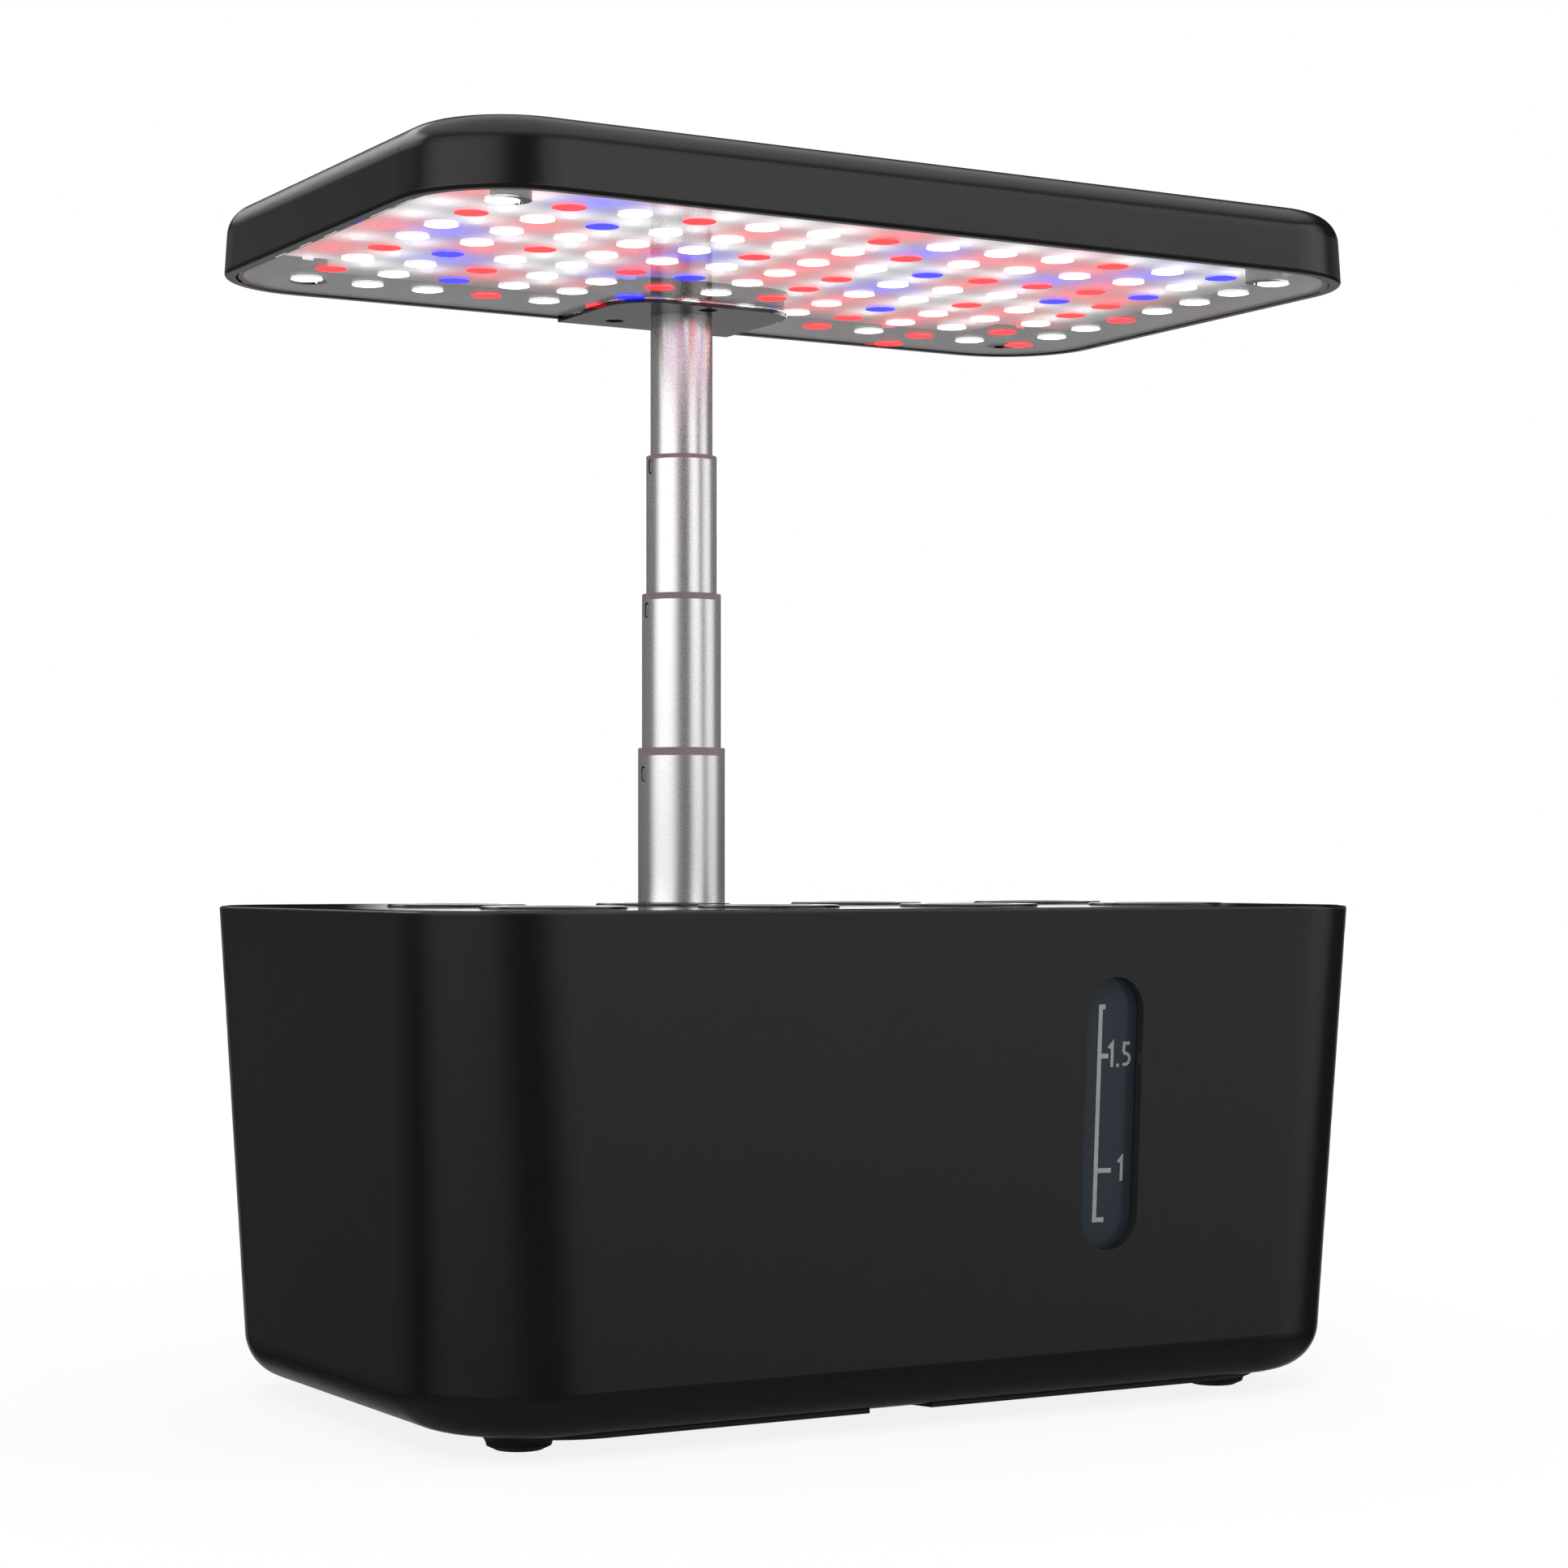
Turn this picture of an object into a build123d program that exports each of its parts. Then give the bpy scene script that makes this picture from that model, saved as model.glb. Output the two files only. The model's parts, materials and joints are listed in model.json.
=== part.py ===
from build123d import *
import math
import os

# Countertop hydroponic garden: a water tank with a planting deck, a telescoping pole and a
# grow lamp.  Lengths are millimetres.  The origin lies on the surface that the feet stand on,
# under the middle of the tank.  +X runs right along the long side, -Y faces the user (the side
# with the water gauge) and +Z is up.

# ---------------------------------------------------------------------------------------------
# Driving dimensions
# ---------------------------------------------------------------------------------------------

# Tank: a tub whose four sides lean in towards the bottom
RIM_LENGTH = 320.0
RIM_WIDTH = 198.0
RIM_RADIUS = 35.0
RIM_Z = 150.0
BODY_Z = 6.0  # underside of the tub
BOTTOM_INSET = 5.4  # lean of each side over the tub's height
BOTTOM_RADIUS = 40.6
BOTTOM_FILLET = 14.0
TANK_WALL = 3.0
FLOOR_Z = 12.5  # top of the tub's floor
CAVITY_FILLET = 10.0
POCKET_Z = 9.5  # roof of the dry pocket under the floor
POCKET_LENGTH = 258.0
POCKET_WIDTH = 148.8
POCKET_RADIUS = 24.0
LEDGE_THICKNESS = 2.5
LEDGE_INSET = 5.5
RIM_WALL = 2.2
RIM_EDGE = 0.8

# Base plate, feet and the screws that hold the plate
PLATE_LENGTH = 268.0
PLATE_WIDTH = 164.0
PLATE_RADIUS = 30.0
PLATE_Z = 4.7
LIP_TOP_Z = 8.0
LIP_GAP = 0.4
NOTCH_X = -9.0
NOTCH_WIDTH = 22.0
NOTCH_SLOPE = 3.0
NOTCH_DEPTH = 7.0
FOOT_X = 120.4
FOOT_Y = 59.5
FOOT_RADIUS = 7.4
FOOT_HEIGHT = 1.7
FOOT_STUB_RADIUS = 3.0
FOOT_STUB_TOP_Z = 4.0
FOOT_STUB_GAP = 0.1
FOOT_EDGE = 0.4
FOOT_SEAT_GAP = 0.1
FOOT_RING_RADIUS = 8.2  # ring of the foot boss that surrounds the rubber foot
FOOT_RING_Z = 0.6
FOOT_STEP_RADIUS = 9.2
FOOT_STEP_Z = 1.1
FOOT_GROOVE_Z = 1.4
FOOT_BOSS_RADIUS = 11.8
FOOT_BOSS_CURVE = 5.0
FOOT_BOSS_ROOT = 0.5  # how far the boss runs into the plate
SCREW_RADIUS = 1.4
SCREW_HEAD_RADIUS = 2.8
SCREW_HEAD_HEIGHT = 1.6
SCREW_LENGTH = 5.6
PILOT_GAP = 0.05  # round a screw's thread
THROUGH_GAP = 0.1  # round a screw in the part that it clamps
HEAD_GAP = 0.2
PILOT_DEPTH = 3.2
RECESS_WIDTH = 0.5  # cross recess in a screw's head
RECESS_DEPTH = 0.7
RECESS_SPAN = 1.2  # length of its arms over the head's radius
PLATE_SCREW_PITCH_X = 95.0
PLATE_SCREW_PITCH_Y = 128.0
BOSS_RADIUS = 4.0

# Water gauge in the front wall
GAUGE_X = 55.2
GAUGE_Z = 89.2
GAUGE_WIDTH = 20.3
GAUGE_HEIGHT = 80.8
GAUGE_TILT = 0.8  # degrees, its lower end to the left, as the tub narrows
GASKET_THICKNESS = 1.0
PANE_THICKNESS = 2.0
PANE_MARGIN = 3.0  # how far the pane reaches past the slot all round
COLLAR_WALL = 1.8
COLLAR_ROOT = 0.5  # how far the collar runs into the wall
PANE_GAP = 0.05
GASKET_STEP = 0.4  # how far the gasket's opening stands back from the slot
MARK_THICKNESS = 0.15
MARK_STROKE = 1.4
BAR_X = -2.6
TICK_END_X = {31.3: -1.0, 16.7: 0.6, -17.3: 2.9, -31.9: 0.8}
NUMERAL_HEIGHT = 7.5
NUMERAL_STROKE = 0.95
UPPER_NUMERALS = (2.0, 7.2, 17.2)  # X of the 1 and of the 5, and their height on the pane
DECIMAL_POINT = (4.1, 13.9)
LOWER_NUMERAL = (6.7, -16.8)

# Planting deck
DECK_TOP_Z = 150.2
DECK_THICKNESS = 3.6
DECK_GAP = 0.25
SKIRT_DEPTH = 6.0
SKIRT_GAP = 0.4
SKIRT_WALL = 1.5
POD_PITCH_X = 70.0
POD_PITCH_Y = 66.0
POD_CENTRE_Y = -17.0
POD_HOLE_RADIUS = 16.0

# Pods: basket, sponge and cap
CAP_RADIUS = 21.0
CAP_SEAT_DEPTH = 1.6
CAP_THICKNESS = 2.3
CAP_GAP = 0.4
CAP_DISH_RADIUS = 13.0
CAP_DISH_DEPTH = 0.9
CAP_GRIP_WIDTH = 4.0
CAP_PLUG_RADIUS = 13.4
CAP_PLUG_DEPTH = 2.2
CAP_EDGE = 0.8
FLANGE_RADIUS = 18.8
FLANGE_THICKNESS = 1.2
BASKET_TOP_RADIUS = 15.6
BASKET_BOTTOM_RADIUS = 12.5
BASKET_BOTTOM_Z = 104.0
BASKET_WALL = 1.4
BASKET_SLOTS = 6
BASKET_SLOT_WIDTH = 3.4
BASKET_SLOT_RISE = 3.0  # solid band under the slots
BASKET_SLOT_SHARE = 0.6  # slot height over basket height
BASKET_SLOT_REACH = 10.8  # radial length of the cut, through the tapered wall
BASKET_DRAIN_RADIUS = 3.0
SPONGE_GAP = 0.4
SEED_HOLE_RADIUS = 2.5
SEED_HOLE_DEPTH = 12.0

# Filler flap in the rear right of the deck
FLAP_X = 100.0
FLAP_LENGTH = 56.0
FLAP_FRONT_Y = 49.0
FLAP_AXIS_Y = 82.0
FLAP_THICKNESS = 2.4
FLAP_GAP = 0.3
KNUCKLE_RADIUS = 1.6
HINGE_PIN_RADIUS = 0.8
HINGE_PIN_END = 1.7  # how far the pin enters the deck at each end
HINGE_CLEARANCE = 0.06
PIN_FIT = 0.03
STRIP_CLEARANCE = 1.0  # open strip in front of the knuckle
FLAP_BEVEL = 1.2
FLAP_LEDGE = 2.3
FINGER_RADIUS = 9.0

# Telescoping pole: outer radius of each tube, from the base up
POLE_Y = 69.5
TUBE_RADII = (14.3, 13.0, 11.6, 10.2)
TUBE_WALL = 0.8
TUBE_OVERLAP = 32.0
RING_SPANS = ((198.5, 201.1), (249.6, 251.7), (295.7, 297.1))  # visible rings of the bushes
BUSH_CLEARANCE = 0.1
SLEEVE_END_GAP = 0.6
FLARE_HEIGHT = 3.0
FLARE_CLEARANCE = 0.1
FLARE_TAPER = 0.6
FLARE_INNER_TAPER = 0.8
FLARE_NECK = 1.0
TAB_HOLE_HEIGHT = 5.3
TAB_HOLE_WIDTH = 3.2
TAB_HOLE_Z = (192.5, 246.2, 293.5)
TAB_GAP = 0.65
TAB_RECESS = 0.35
TAB_CUT_MARGIN = 0.5
TAB_ROOT = 0.2

# Socket that holds the pole under the deck
SOCKET_FLANGE_RADIUS = 25.0
SOCKET_FLANGE_THICKNESS = 3.0
SOCKET_FLAT_Y = 91.0  # the flange's rear, cut straight to clear the deck's skirt
SOCKET_RADIUS = 17.5
SOCKET_BOTTOM_Z = 86.0
SOCKET_FLOOR = 3.0
SOCKET_GAP = 0.1
WIRE_HOLE_RADIUS = 3.0
SOCKET_SCREW_RING = 21.2

# Circulation pump on the tank's floor
PUMP_X = -98.0
PUMP_Y = 40.0
PUMP_LENGTH = 34.0
PUMP_WIDTH = 36.0
PUMP_HEIGHT = 34.0
PUMP_FEET = 3.0
PUMP_EDGE = 3.0
PUMP_COVER_LENGTH = 9.0
PUMP_FOOT_RADIUS = 3.0
PUMP_FOOT_X = 12.0
PUMP_FOOT_Y = 13.0
STRAINER_BACK = 3.0  # wall between the chamber and the strainer
STRAINER_FACE = 2.0
STRAINER_RIM = 4.0
STRAINER_SLOTS = 6
STRAINER_PITCH = 4.4
STRAINER_SLOT_HEIGHT = 22.0
STRAINER_SLOT_WIDTH = 2.0
SHAFT_SEAT_COVER = 2.0  # depth of the shaft's seats in the cover and in the housing
SHAFT_SEAT_HOUSING = 2.5
SHAFT_BAR = 3.6  # height of the bar across the inlet that carries the shaft
CHAMBER_RADIUS = 14.0
CHAMBER_DEPTH = 9.0
ROTOR_WELL_RADIUS = 8.4
ROTOR_WELL_DEPTH = 20.0
ROTOR_RADIUS = 7.8
ROTOR_LENGTH = 18.0
ROTOR_END_GAP = 1.0
VANE_DISC_RADIUS = 12.4
VANE_DISC_THICKNESS = 1.6
VANE_HEIGHT = 4.6
VANE_WIDTH = 1.4
VANES = 6
VANE_HUB_RADIUS = 3.4
VANE_LENGTH = 9.4
VANE_MIDDLE = 7.2
PUMP_SHAFT_RADIUS = 1.5
PUMP_SHAFT_CLEARANCE = 0.06
INLET_RADIUS = 4.5
OUTLET_RADIUS = 3.2
NOZZLE_RADIUS = 4.4
NOZZLE_HEIGHT = 9.0
RISER_RADIUS = 5.8
RISER_TOP_Z = 92.0
RISER_BEND = 12.0
RISER_SPOUT = 10.0

# Lamp
LAMP_Z = 343.7
LAMP_TOP_Z = 365.1
LAMP_LENGTH = 317.7
LAMP_WIDTH = 193.5
LAMP_RADIUS = 33.5
LAMP_DRAFT = 1.4
LAMP_FILLET = 9.0
LAMP_EDGE = 1.1  # rounding of its lower outer edge
LAMP_LIP = 3.5
LAMP_WALL = 2.2
CEILING_ROOT = 0.5  # how far posts and ribs run into the ceiling
COVER_RECESS = 0.3
COVER_THICKNESS = 2.6
COVER_GAP = 0.7
COVER_LEDGE_HEIGHT = 2.0
COVER_LEDGE_INSET = 5.5
COVER_BORE_RADIUS = 3.2
COVER_BORE_DEPTH = 1.8
POST_X = 129.5
POST_Y = 73.5
POST_RADIUS = 5.8
BOARD_Z = 352.9
BOARD_THICKNESS = 1.6
BOARD_INSET = 7.5
BOARD_NOTCH = 13.0
BOARD_HOLE_RADIUS = 2.0
BOARD_HOLES = ((-112.0, -34.0), (119.0, 0.0))
LAMP_PITCH_X = 20.38
LAMP_PITCH_Y = 20.33
LAMP_COLUMNS = 14
LAMP_ROWS = 8
FIRST_ROW_Y = -74.4
LENS_RADIUS = 4.9
LENS_THICKNESS = 0.5
LENS_GAP = 0.05
CHIP_LENGTH = 3.5
CHIP_WIDTH = 2.8
CHIP_HEIGHT = 0.8
# Columns of the red and the blue lamps in each row, counted from the left and from the front
RED_COLUMNS = ((1, 3, 6, 10), (0, 7), (5, 9, 10, 11), (2, 7, 12), (0, 4, 7, 10, 12, 13),
               (2, 5, 7), (0, 9, 12), (3, 5, 9, 11, 13), (11,))
BLUE_COLUMNS = ((12,), (2,), (8, 12), (11,), (1, 5), (9,), (2, 5), (), ())

# Bracket that joins the lamp to the pole
BRACKET_HALF_WIDTH = 32.0
BRACKET_FRONT_Y = 45.0
BRACKET_RADIUS = 16.0
BRACKET_Z = 342.9
BRACKET_THICKNESS = 3.2
BRACKET_COLLAR_RADIUS = 11.6
BRACKET_COLLAR_TOP_Z = 358.0
BRACKET_WALL = 1.8
BRACKET_BOSS_RADIUS = 2.8
BRACKET_SEAT_GAP = 0.1
BRACKET_WALL_INSET = 0.2
BRACKET_BORE_RADIUS = 3.05
BRACKET_BORE_DEPTH = 2.0
BRACKET_SCREWS = ((0.0, 51.0), (-16.7, 85.2), (16.7, 85.2))
COVER_CUT_GAP = 0.8
BOARD_CUT_GAP = 1.5
LAMP_SCREW_RADIUS = 1.3
LAMP_SCREW_HEAD_RADIUS = 2.6
LAMP_SCREW_HEAD_HEIGHT = 1.2
LAMP_SCREW_LENGTH = 9.0

# Push buttons on the lamp, the board under them and the DC inlet
BUTTON_X = 15.0
BUTTON_Y = -62.0
BUTTON_RADIUS = 5.8
BUTTON_GAP = 0.3
BUTTON_FLANGE_RADIUS = 7.2
BUTTON_TOP_Z = 364.8
BUTTON_TRAVEL = 0.8
BUTTON_HEIGHT = 3.6
BUTTON_EDGE = 0.4
BUTTON_FLANGE_THICKNESS = 1.5
BUTTON_FLANGE_GAP = 0.2
PLUNGER_RADIUS = 2.0
PLUNGER_END = 5.2  # below the button's top
PLUNGER_ROOT = 0.2
SWITCH_GAP = 0.2
PANEL_LENGTH = 52.0
PANEL_WIDTH = 18.0
PANEL_DEPTH = 0.4
PANEL_RADIUS = 8.9
CONTROL_Z = 355.6
CONTROL_THICKNESS = 1.6
CONTROL_LENGTH = 74.0
CONTROL_WIDTH = 24.0
SWITCH_SIZE = 6.0
STANDOFF_X = 31.0
STANDOFF_RADIUS = 3.0
INLET_X = -60.0
INLET_Z = 358.8
INLET_BARREL_RADIUS = 3.7
INLET_BORE_RADIUS = 2.75
INLET_PIN_RADIUS = 1.0
INLET_BARREL_LENGTH = 8.2
INLET_BODY = (9.0, 9.0, 7.4)
INLET_FACE_Y = 94.4
INLET_HOLE_GAP = 0.15
INLET_DEPTH = 9.0

# ---------------------------------------------------------------------------------------------
# Values worked out from them
# ---------------------------------------------------------------------------------------------

TANK_HEIGHT = RIM_Z - BODY_Z
LEAN = math.atan2(BOTTOM_INSET, TANK_HEIGHT)
DECK_BOTTOM_Z = DECK_TOP_Z - DECK_THICKNESS
LEDGE_BOTTOM_Z = DECK_BOTTOM_Z - LEDGE_THICKNESS
LAMP_CEILING_Z = LAMP_TOP_Z - LAMP_WALL
COVER_Z = LAMP_Z + COVER_RECESS
COVER_TOP_Z = COVER_Z + COVER_THICKNESS
BRACKET_TOP_Z = BRACKET_Z + BRACKET_THICKNESS
FLAP_AXIS_Z = DECK_TOP_Z - KNUCKLE_RADIUS
CAP_SEAT_Z = DECK_TOP_Z - CAP_SEAT_DEPTH
PUMP_FLOOR_Z = FLOOR_Z + PUMP_FEET
PUMP_AXIS_Z = PUMP_FLOOR_Z + PUMP_HEIGHT / 2
PUMP_FACE_X = PUMP_X + PUMP_LENGTH / 2
SWITCH_HEIGHT = (
    BUTTON_TOP_Z - PLUNGER_END - SWITCH_GAP - BUTTON_TRAVEL - CONTROL_Z - CONTROL_THICKNESS
)
CENTRE_LOW = (Align.CENTER, Align.CENTER, Align.MIN)
CENTRE_HIGH = (Align.CENTER, Align.CENTER, Align.MAX)
FOOT_PLACES = [(x, y) for x in (-FOOT_X, FOOT_X) for y in (-FOOT_Y, FOOT_Y)]
PLATE_SCREW_PLACES = [
    (x, y)
    for x in (-PLATE_SCREW_PITCH_X, 0.0, PLATE_SCREW_PITCH_X)
    for y in (-PLATE_SCREW_PITCH_Y / 2, PLATE_SCREW_PITCH_Y / 2)
]
SOCKET_SCREW_PLACES = [
    (SOCKET_SCREW_RING * math.cos(turn), POLE_Y + SOCKET_SCREW_RING * math.sin(turn))
    for turn in (math.pi * (2 * quarter + 1) / 4 for quarter in range(4))
]
POD_PLACES = [
    (POD_PITCH_X * (column - 1.5), POD_CENTRE_Y + POD_PITCH_Y * (row - 0.5))
    for row in range(2)
    for column in range(4)
]
POST_PLACES = [(x, y) for x in (-POST_X, POST_X) for y in (-POST_Y, POST_Y)]
BUTTON_PLACES = [(-BUTTON_X, BUTTON_Y), (BUTTON_X, BUTTON_Y)]

os.makedirs("parts", exist_ok=True)


def upright_plane(x, y):
    """The plane of an upright profile through (x, y): local x runs along +X, local y up."""
    return Plane(origin=(x, y, 0), x_dir=(1, 0, 0), z_dir=(0, -1, 0))


def save(piece, name):
    """Label a finished piece and write its STEP file."""
    piece.part.label = name
    export_step(piece.part, f"parts/{name}.step")


# ---------------------------------------------------------------------------------------------
# Tank
# ---------------------------------------------------------------------------------------------


def tank_block(low_z, high_z, inset, mode=Mode.ADD):
    """A block that follows the tub's leaning sides, moved in by inset, between two heights."""
    sections = []
    for z in (low_z, high_z):
        down = (RIM_Z - z) / TANK_HEIGHT
        moved = BOTTOM_INSET * down + inset
        radius = RIM_RADIUS + (BOTTOM_RADIUS - RIM_RADIUS) * down - inset
        with BuildSketch(Plane.XY.offset(z)) as outline:
            RectangleRounded(RIM_LENGTH - 2 * moved, RIM_WIDTH - 2 * moved, radius)
        sections.append(outline.sketch)
    loft(sections, ruled=True, mode=mode)


def gauge_plane(depth):
    """The front wall's plane at the gauge, moved into the tank by depth."""
    front_y = -RIM_WIDTH / 2 + BOTTOM_INSET * (RIM_Z - GAUGE_Z) / TANK_HEIGHT
    outward = (0, -math.cos(LEAN), -math.sin(LEAN))
    tilt = math.radians(GAUGE_TILT)
    across = (math.cos(tilt), math.sin(tilt) * math.sin(LEAN), -math.sin(tilt) * math.cos(LEAN))
    face = Plane(origin=(GAUGE_X, front_y, GAUGE_Z), x_dir=across, z_dir=outward)
    return face.offset(-depth)


def gauge_slot(margin, mode=Mode.ADD):
    """The gauge's upright slot, widened by margin all round."""
    SlotOverall(GAUGE_HEIGHT + 2 * margin, GAUGE_WIDTH + 2 * margin, rotation=90, mode=mode)


with BuildPart() as tank_cavity:
    tank_block(FLOOR_Z, LEDGE_BOTTOM_Z, TANK_WALL)
    fillet(tank_cavity.faces().sort_by(Axis.Z)[0].edges(), CAVITY_FILLET)

with BuildPart() as water_tank:
    tank_block(BODY_Z, RIM_Z, 0)
    fillet(water_tank.faces().sort_by(Axis.Z)[0].edges(), BOTTOM_FILLET)
    fillet(water_tank.faces().sort_by(Axis.Z)[-1].edges(), RIM_EDGE)
    add(tank_cavity.part, mode=Mode.SUBTRACT)
    # neck, whose lower edge is the ledge that carries the deck, and the deck's seat
    tank_block(LEDGE_BOTTOM_Z, DECK_BOTTOM_Z, LEDGE_INSET, mode=Mode.SUBTRACT)
    tank_block(DECK_BOTTOM_Z, RIM_Z, RIM_WALL, mode=Mode.SUBTRACT)
    # dry pocket under the floor, with bosses for the base plate's screws
    with BuildSketch(Plane.XY.offset(BODY_Z)):
        RectangleRounded(POCKET_LENGTH, POCKET_WIDTH, POCKET_RADIUS)
    extrude(amount=POCKET_Z - BODY_Z, mode=Mode.SUBTRACT)
    with Locations(*[(x, y, LIP_TOP_Z) for x, y in PLATE_SCREW_PLACES]):
        Cylinder(BOSS_RADIUS, POCKET_Z - LIP_TOP_Z, align=CENTRE_LOW)
        Cylinder(SCREW_RADIUS + PILOT_GAP, PILOT_DEPTH, align=CENTRE_LOW,
                 mode=Mode.SUBTRACT)
    # gauge slot through the front wall, and the collar inside that holds the pane
    pane_back = TANK_WALL + GASKET_THICKNESS + PANE_THICKNESS
    with BuildSketch(gauge_plane(pane_back)):
        gauge_slot(PANE_MARGIN + COLLAR_WALL)
    extrude(amount=pane_back - TANK_WALL + COLLAR_ROOT)
    with BuildSketch(gauge_plane(pane_back)):
        gauge_slot(PANE_MARGIN + PANE_GAP)
    extrude(amount=pane_back - TANK_WALL, mode=Mode.SUBTRACT)
    with BuildSketch(gauge_plane(pane_back)):
        gauge_slot(0)
    extrude(amount=pane_back + TANK_WALL, mode=Mode.SUBTRACT)
save(water_tank, "water_tank")

with BuildPart() as window_gasket:
    with BuildSketch(gauge_plane(TANK_WALL + GASKET_THICKNESS)):
        gauge_slot(PANE_MARGIN)
        gauge_slot(GASKET_STEP, mode=Mode.SUBTRACT)
    extrude(amount=GASKET_THICKNESS)
save(window_gasket, "window_gasket")

with BuildPart() as window_pane:
    with BuildSketch(gauge_plane(TANK_WALL + GASKET_THICKNESS + PANE_THICKNESS)):
        gauge_slot(PANE_MARGIN)
    extrude(amount=PANE_THICKNESS)
save(window_pane, "window_pane")


def numeral_one(x, y):
    """The figure 1, centred on (x, y)."""
    half = NUMERAL_HEIGHT / 2
    with BuildLine() as stroke:
        Polyline((x - 1.3, y + half - 1.9), (x, y + half - 0.5), (x, y - half))
    trace(stroke.edges(), line_width=NUMERAL_STROKE)


def numeral_five(x, y):
    """The figure 5, centred on (x, y)."""
    half = NUMERAL_HEIGHT / 2
    with BuildLine() as stroke:
        Polyline((x + 1.1, y + half - 0.5), (x - 0.9, y + half - 0.5), (x - 1.1, y + 0.5))
    trace(stroke.edges(), line_width=NUMERAL_STROKE)
    with BuildLine() as bowl:
        ThreePointArc((x - 1.1, y + 0.2), (x + 1.1, y - 1.5), (x - 1.2, y - half + 0.8))
    trace(bowl.edges(), line_width=NUMERAL_STROKE)


with BuildPart() as window_scale:
    with BuildSketch(gauge_plane(TANK_WALL + GASKET_THICKNESS)):
        ends = list(TICK_END_X)
        with Locations((BAR_X, (ends[0] + ends[-1]) / 2)):
            Rectangle(MARK_STROKE, ends[0] - ends[-1] + MARK_STROKE)
        for tick_y, end_x in TICK_END_X.items():
            with Locations((BAR_X, tick_y)):
                Rectangle(end_x - BAR_X, MARK_STROKE, align=(Align.MIN, Align.CENTER))
        one_x, five_x, upper_y = UPPER_NUMERALS
        numeral_one(one_x, upper_y)
        with Locations(DECIMAL_POINT):
            Rectangle(NUMERAL_STROKE, NUMERAL_STROKE)
        numeral_five(five_x, upper_y)
        numeral_one(*LOWER_NUMERAL)
    extrude(amount=MARK_THICKNESS)
save(window_scale, "window_scale")

# ---------------------------------------------------------------------------------------------
# Base plate, feet and screws
# ---------------------------------------------------------------------------------------------

with BuildPart() as base_plate:
    with BuildSketch(Plane.XY.offset(PLATE_Z)):
        RectangleRounded(PLATE_LENGTH, PLATE_WIDTH, PLATE_RADIUS)
        with BuildLine():
            front = -PLATE_WIDTH / 2
            Polyline(
                (NOTCH_X - NOTCH_WIDTH / 2, front - 1),
                (NOTCH_X - NOTCH_WIDTH / 2 + NOTCH_SLOPE, front + NOTCH_DEPTH),
                (NOTCH_X + NOTCH_WIDTH / 2 - NOTCH_SLOPE, front + NOTCH_DEPTH),
                (NOTCH_X + NOTCH_WIDTH / 2, front - 1),
                close=True,
            )
        make_face(mode=Mode.SUBTRACT)
    extrude(amount=BODY_Z - PLATE_Z)
    with BuildSketch(Plane.XY.offset(BODY_Z)):
        RectangleRounded(
            POCKET_LENGTH - 2 * LIP_GAP, POCKET_WIDTH - 2 * LIP_GAP, POCKET_RADIUS - LIP_GAP
        )
    extrude(amount=LIP_TOP_Z - BODY_Z)
    # each foot boss: a shallow dome with a step, with a seat and a bore for the rubber foot
    for foot_x, foot_y in FOOT_PLACES:
        with BuildSketch(upright_plane(foot_x, foot_y)):
            with BuildLine():
                seat_radius = FOOT_RADIUS + FOOT_SEAT_GAP
                Polyline((0, FOOT_HEIGHT), (seat_radius, FOOT_HEIGHT),
                         (seat_radius, FOOT_RING_Z), (FOOT_RING_RADIUS, FOOT_RING_Z),
                         (FOOT_STEP_RADIUS, FOOT_STEP_Z), (FOOT_STEP_RADIUS, FOOT_GROOVE_Z))
                RadiusArc((FOOT_STEP_RADIUS, FOOT_GROOVE_Z), (FOOT_BOSS_RADIUS, PLATE_Z),
                          FOOT_BOSS_CURVE)
                Polyline((FOOT_BOSS_RADIUS, PLATE_Z),
                         (FOOT_BOSS_RADIUS, PLATE_Z + FOOT_BOSS_ROOT),
                         (0, PLATE_Z + FOOT_BOSS_ROOT), (0, FOOT_HEIGHT))
            make_face()
        revolve(axis=Axis((foot_x, foot_y, 0), (0, 0, 1)))
    with Locations(*[(x, y, FOOT_HEIGHT) for x, y in FOOT_PLACES]):
        Cylinder(FOOT_STUB_RADIUS + FOOT_STUB_GAP / 2,
                 FOOT_STUB_TOP_Z - FOOT_HEIGHT + FOOT_STUB_GAP,
                 align=CENTRE_LOW, mode=Mode.SUBTRACT)
    with Locations(*[(x, y, PLATE_Z) for x, y in PLATE_SCREW_PLACES]):
        Cylinder(SCREW_RADIUS + THROUGH_GAP, LIP_TOP_Z - PLATE_Z, align=CENTRE_LOW,
                 mode=Mode.SUBTRACT)
        Cylinder(SCREW_HEAD_RADIUS + HEAD_GAP, SCREW_HEAD_HEIGHT, align=CENTRE_LOW,
                 mode=Mode.SUBTRACT)
save(base_plate, "base_plate")

with BuildPart() as rubber_feet:
    with Locations(*[(x, y, 0) for x, y in FOOT_PLACES]):
        Cylinder(FOOT_RADIUS, FOOT_HEIGHT, align=CENTRE_LOW)
    chamfer(rubber_feet.faces().group_by(Axis.Z)[0].edges(), FOOT_EDGE)
    with Locations(*[(x, y, FOOT_HEIGHT) for x, y in FOOT_PLACES]):
        Cylinder(FOOT_STUB_RADIUS, FOOT_STUB_TOP_Z - FOOT_HEIGHT, align=CENTRE_LOW)
save(rubber_feet, "rubber_feet")


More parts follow.
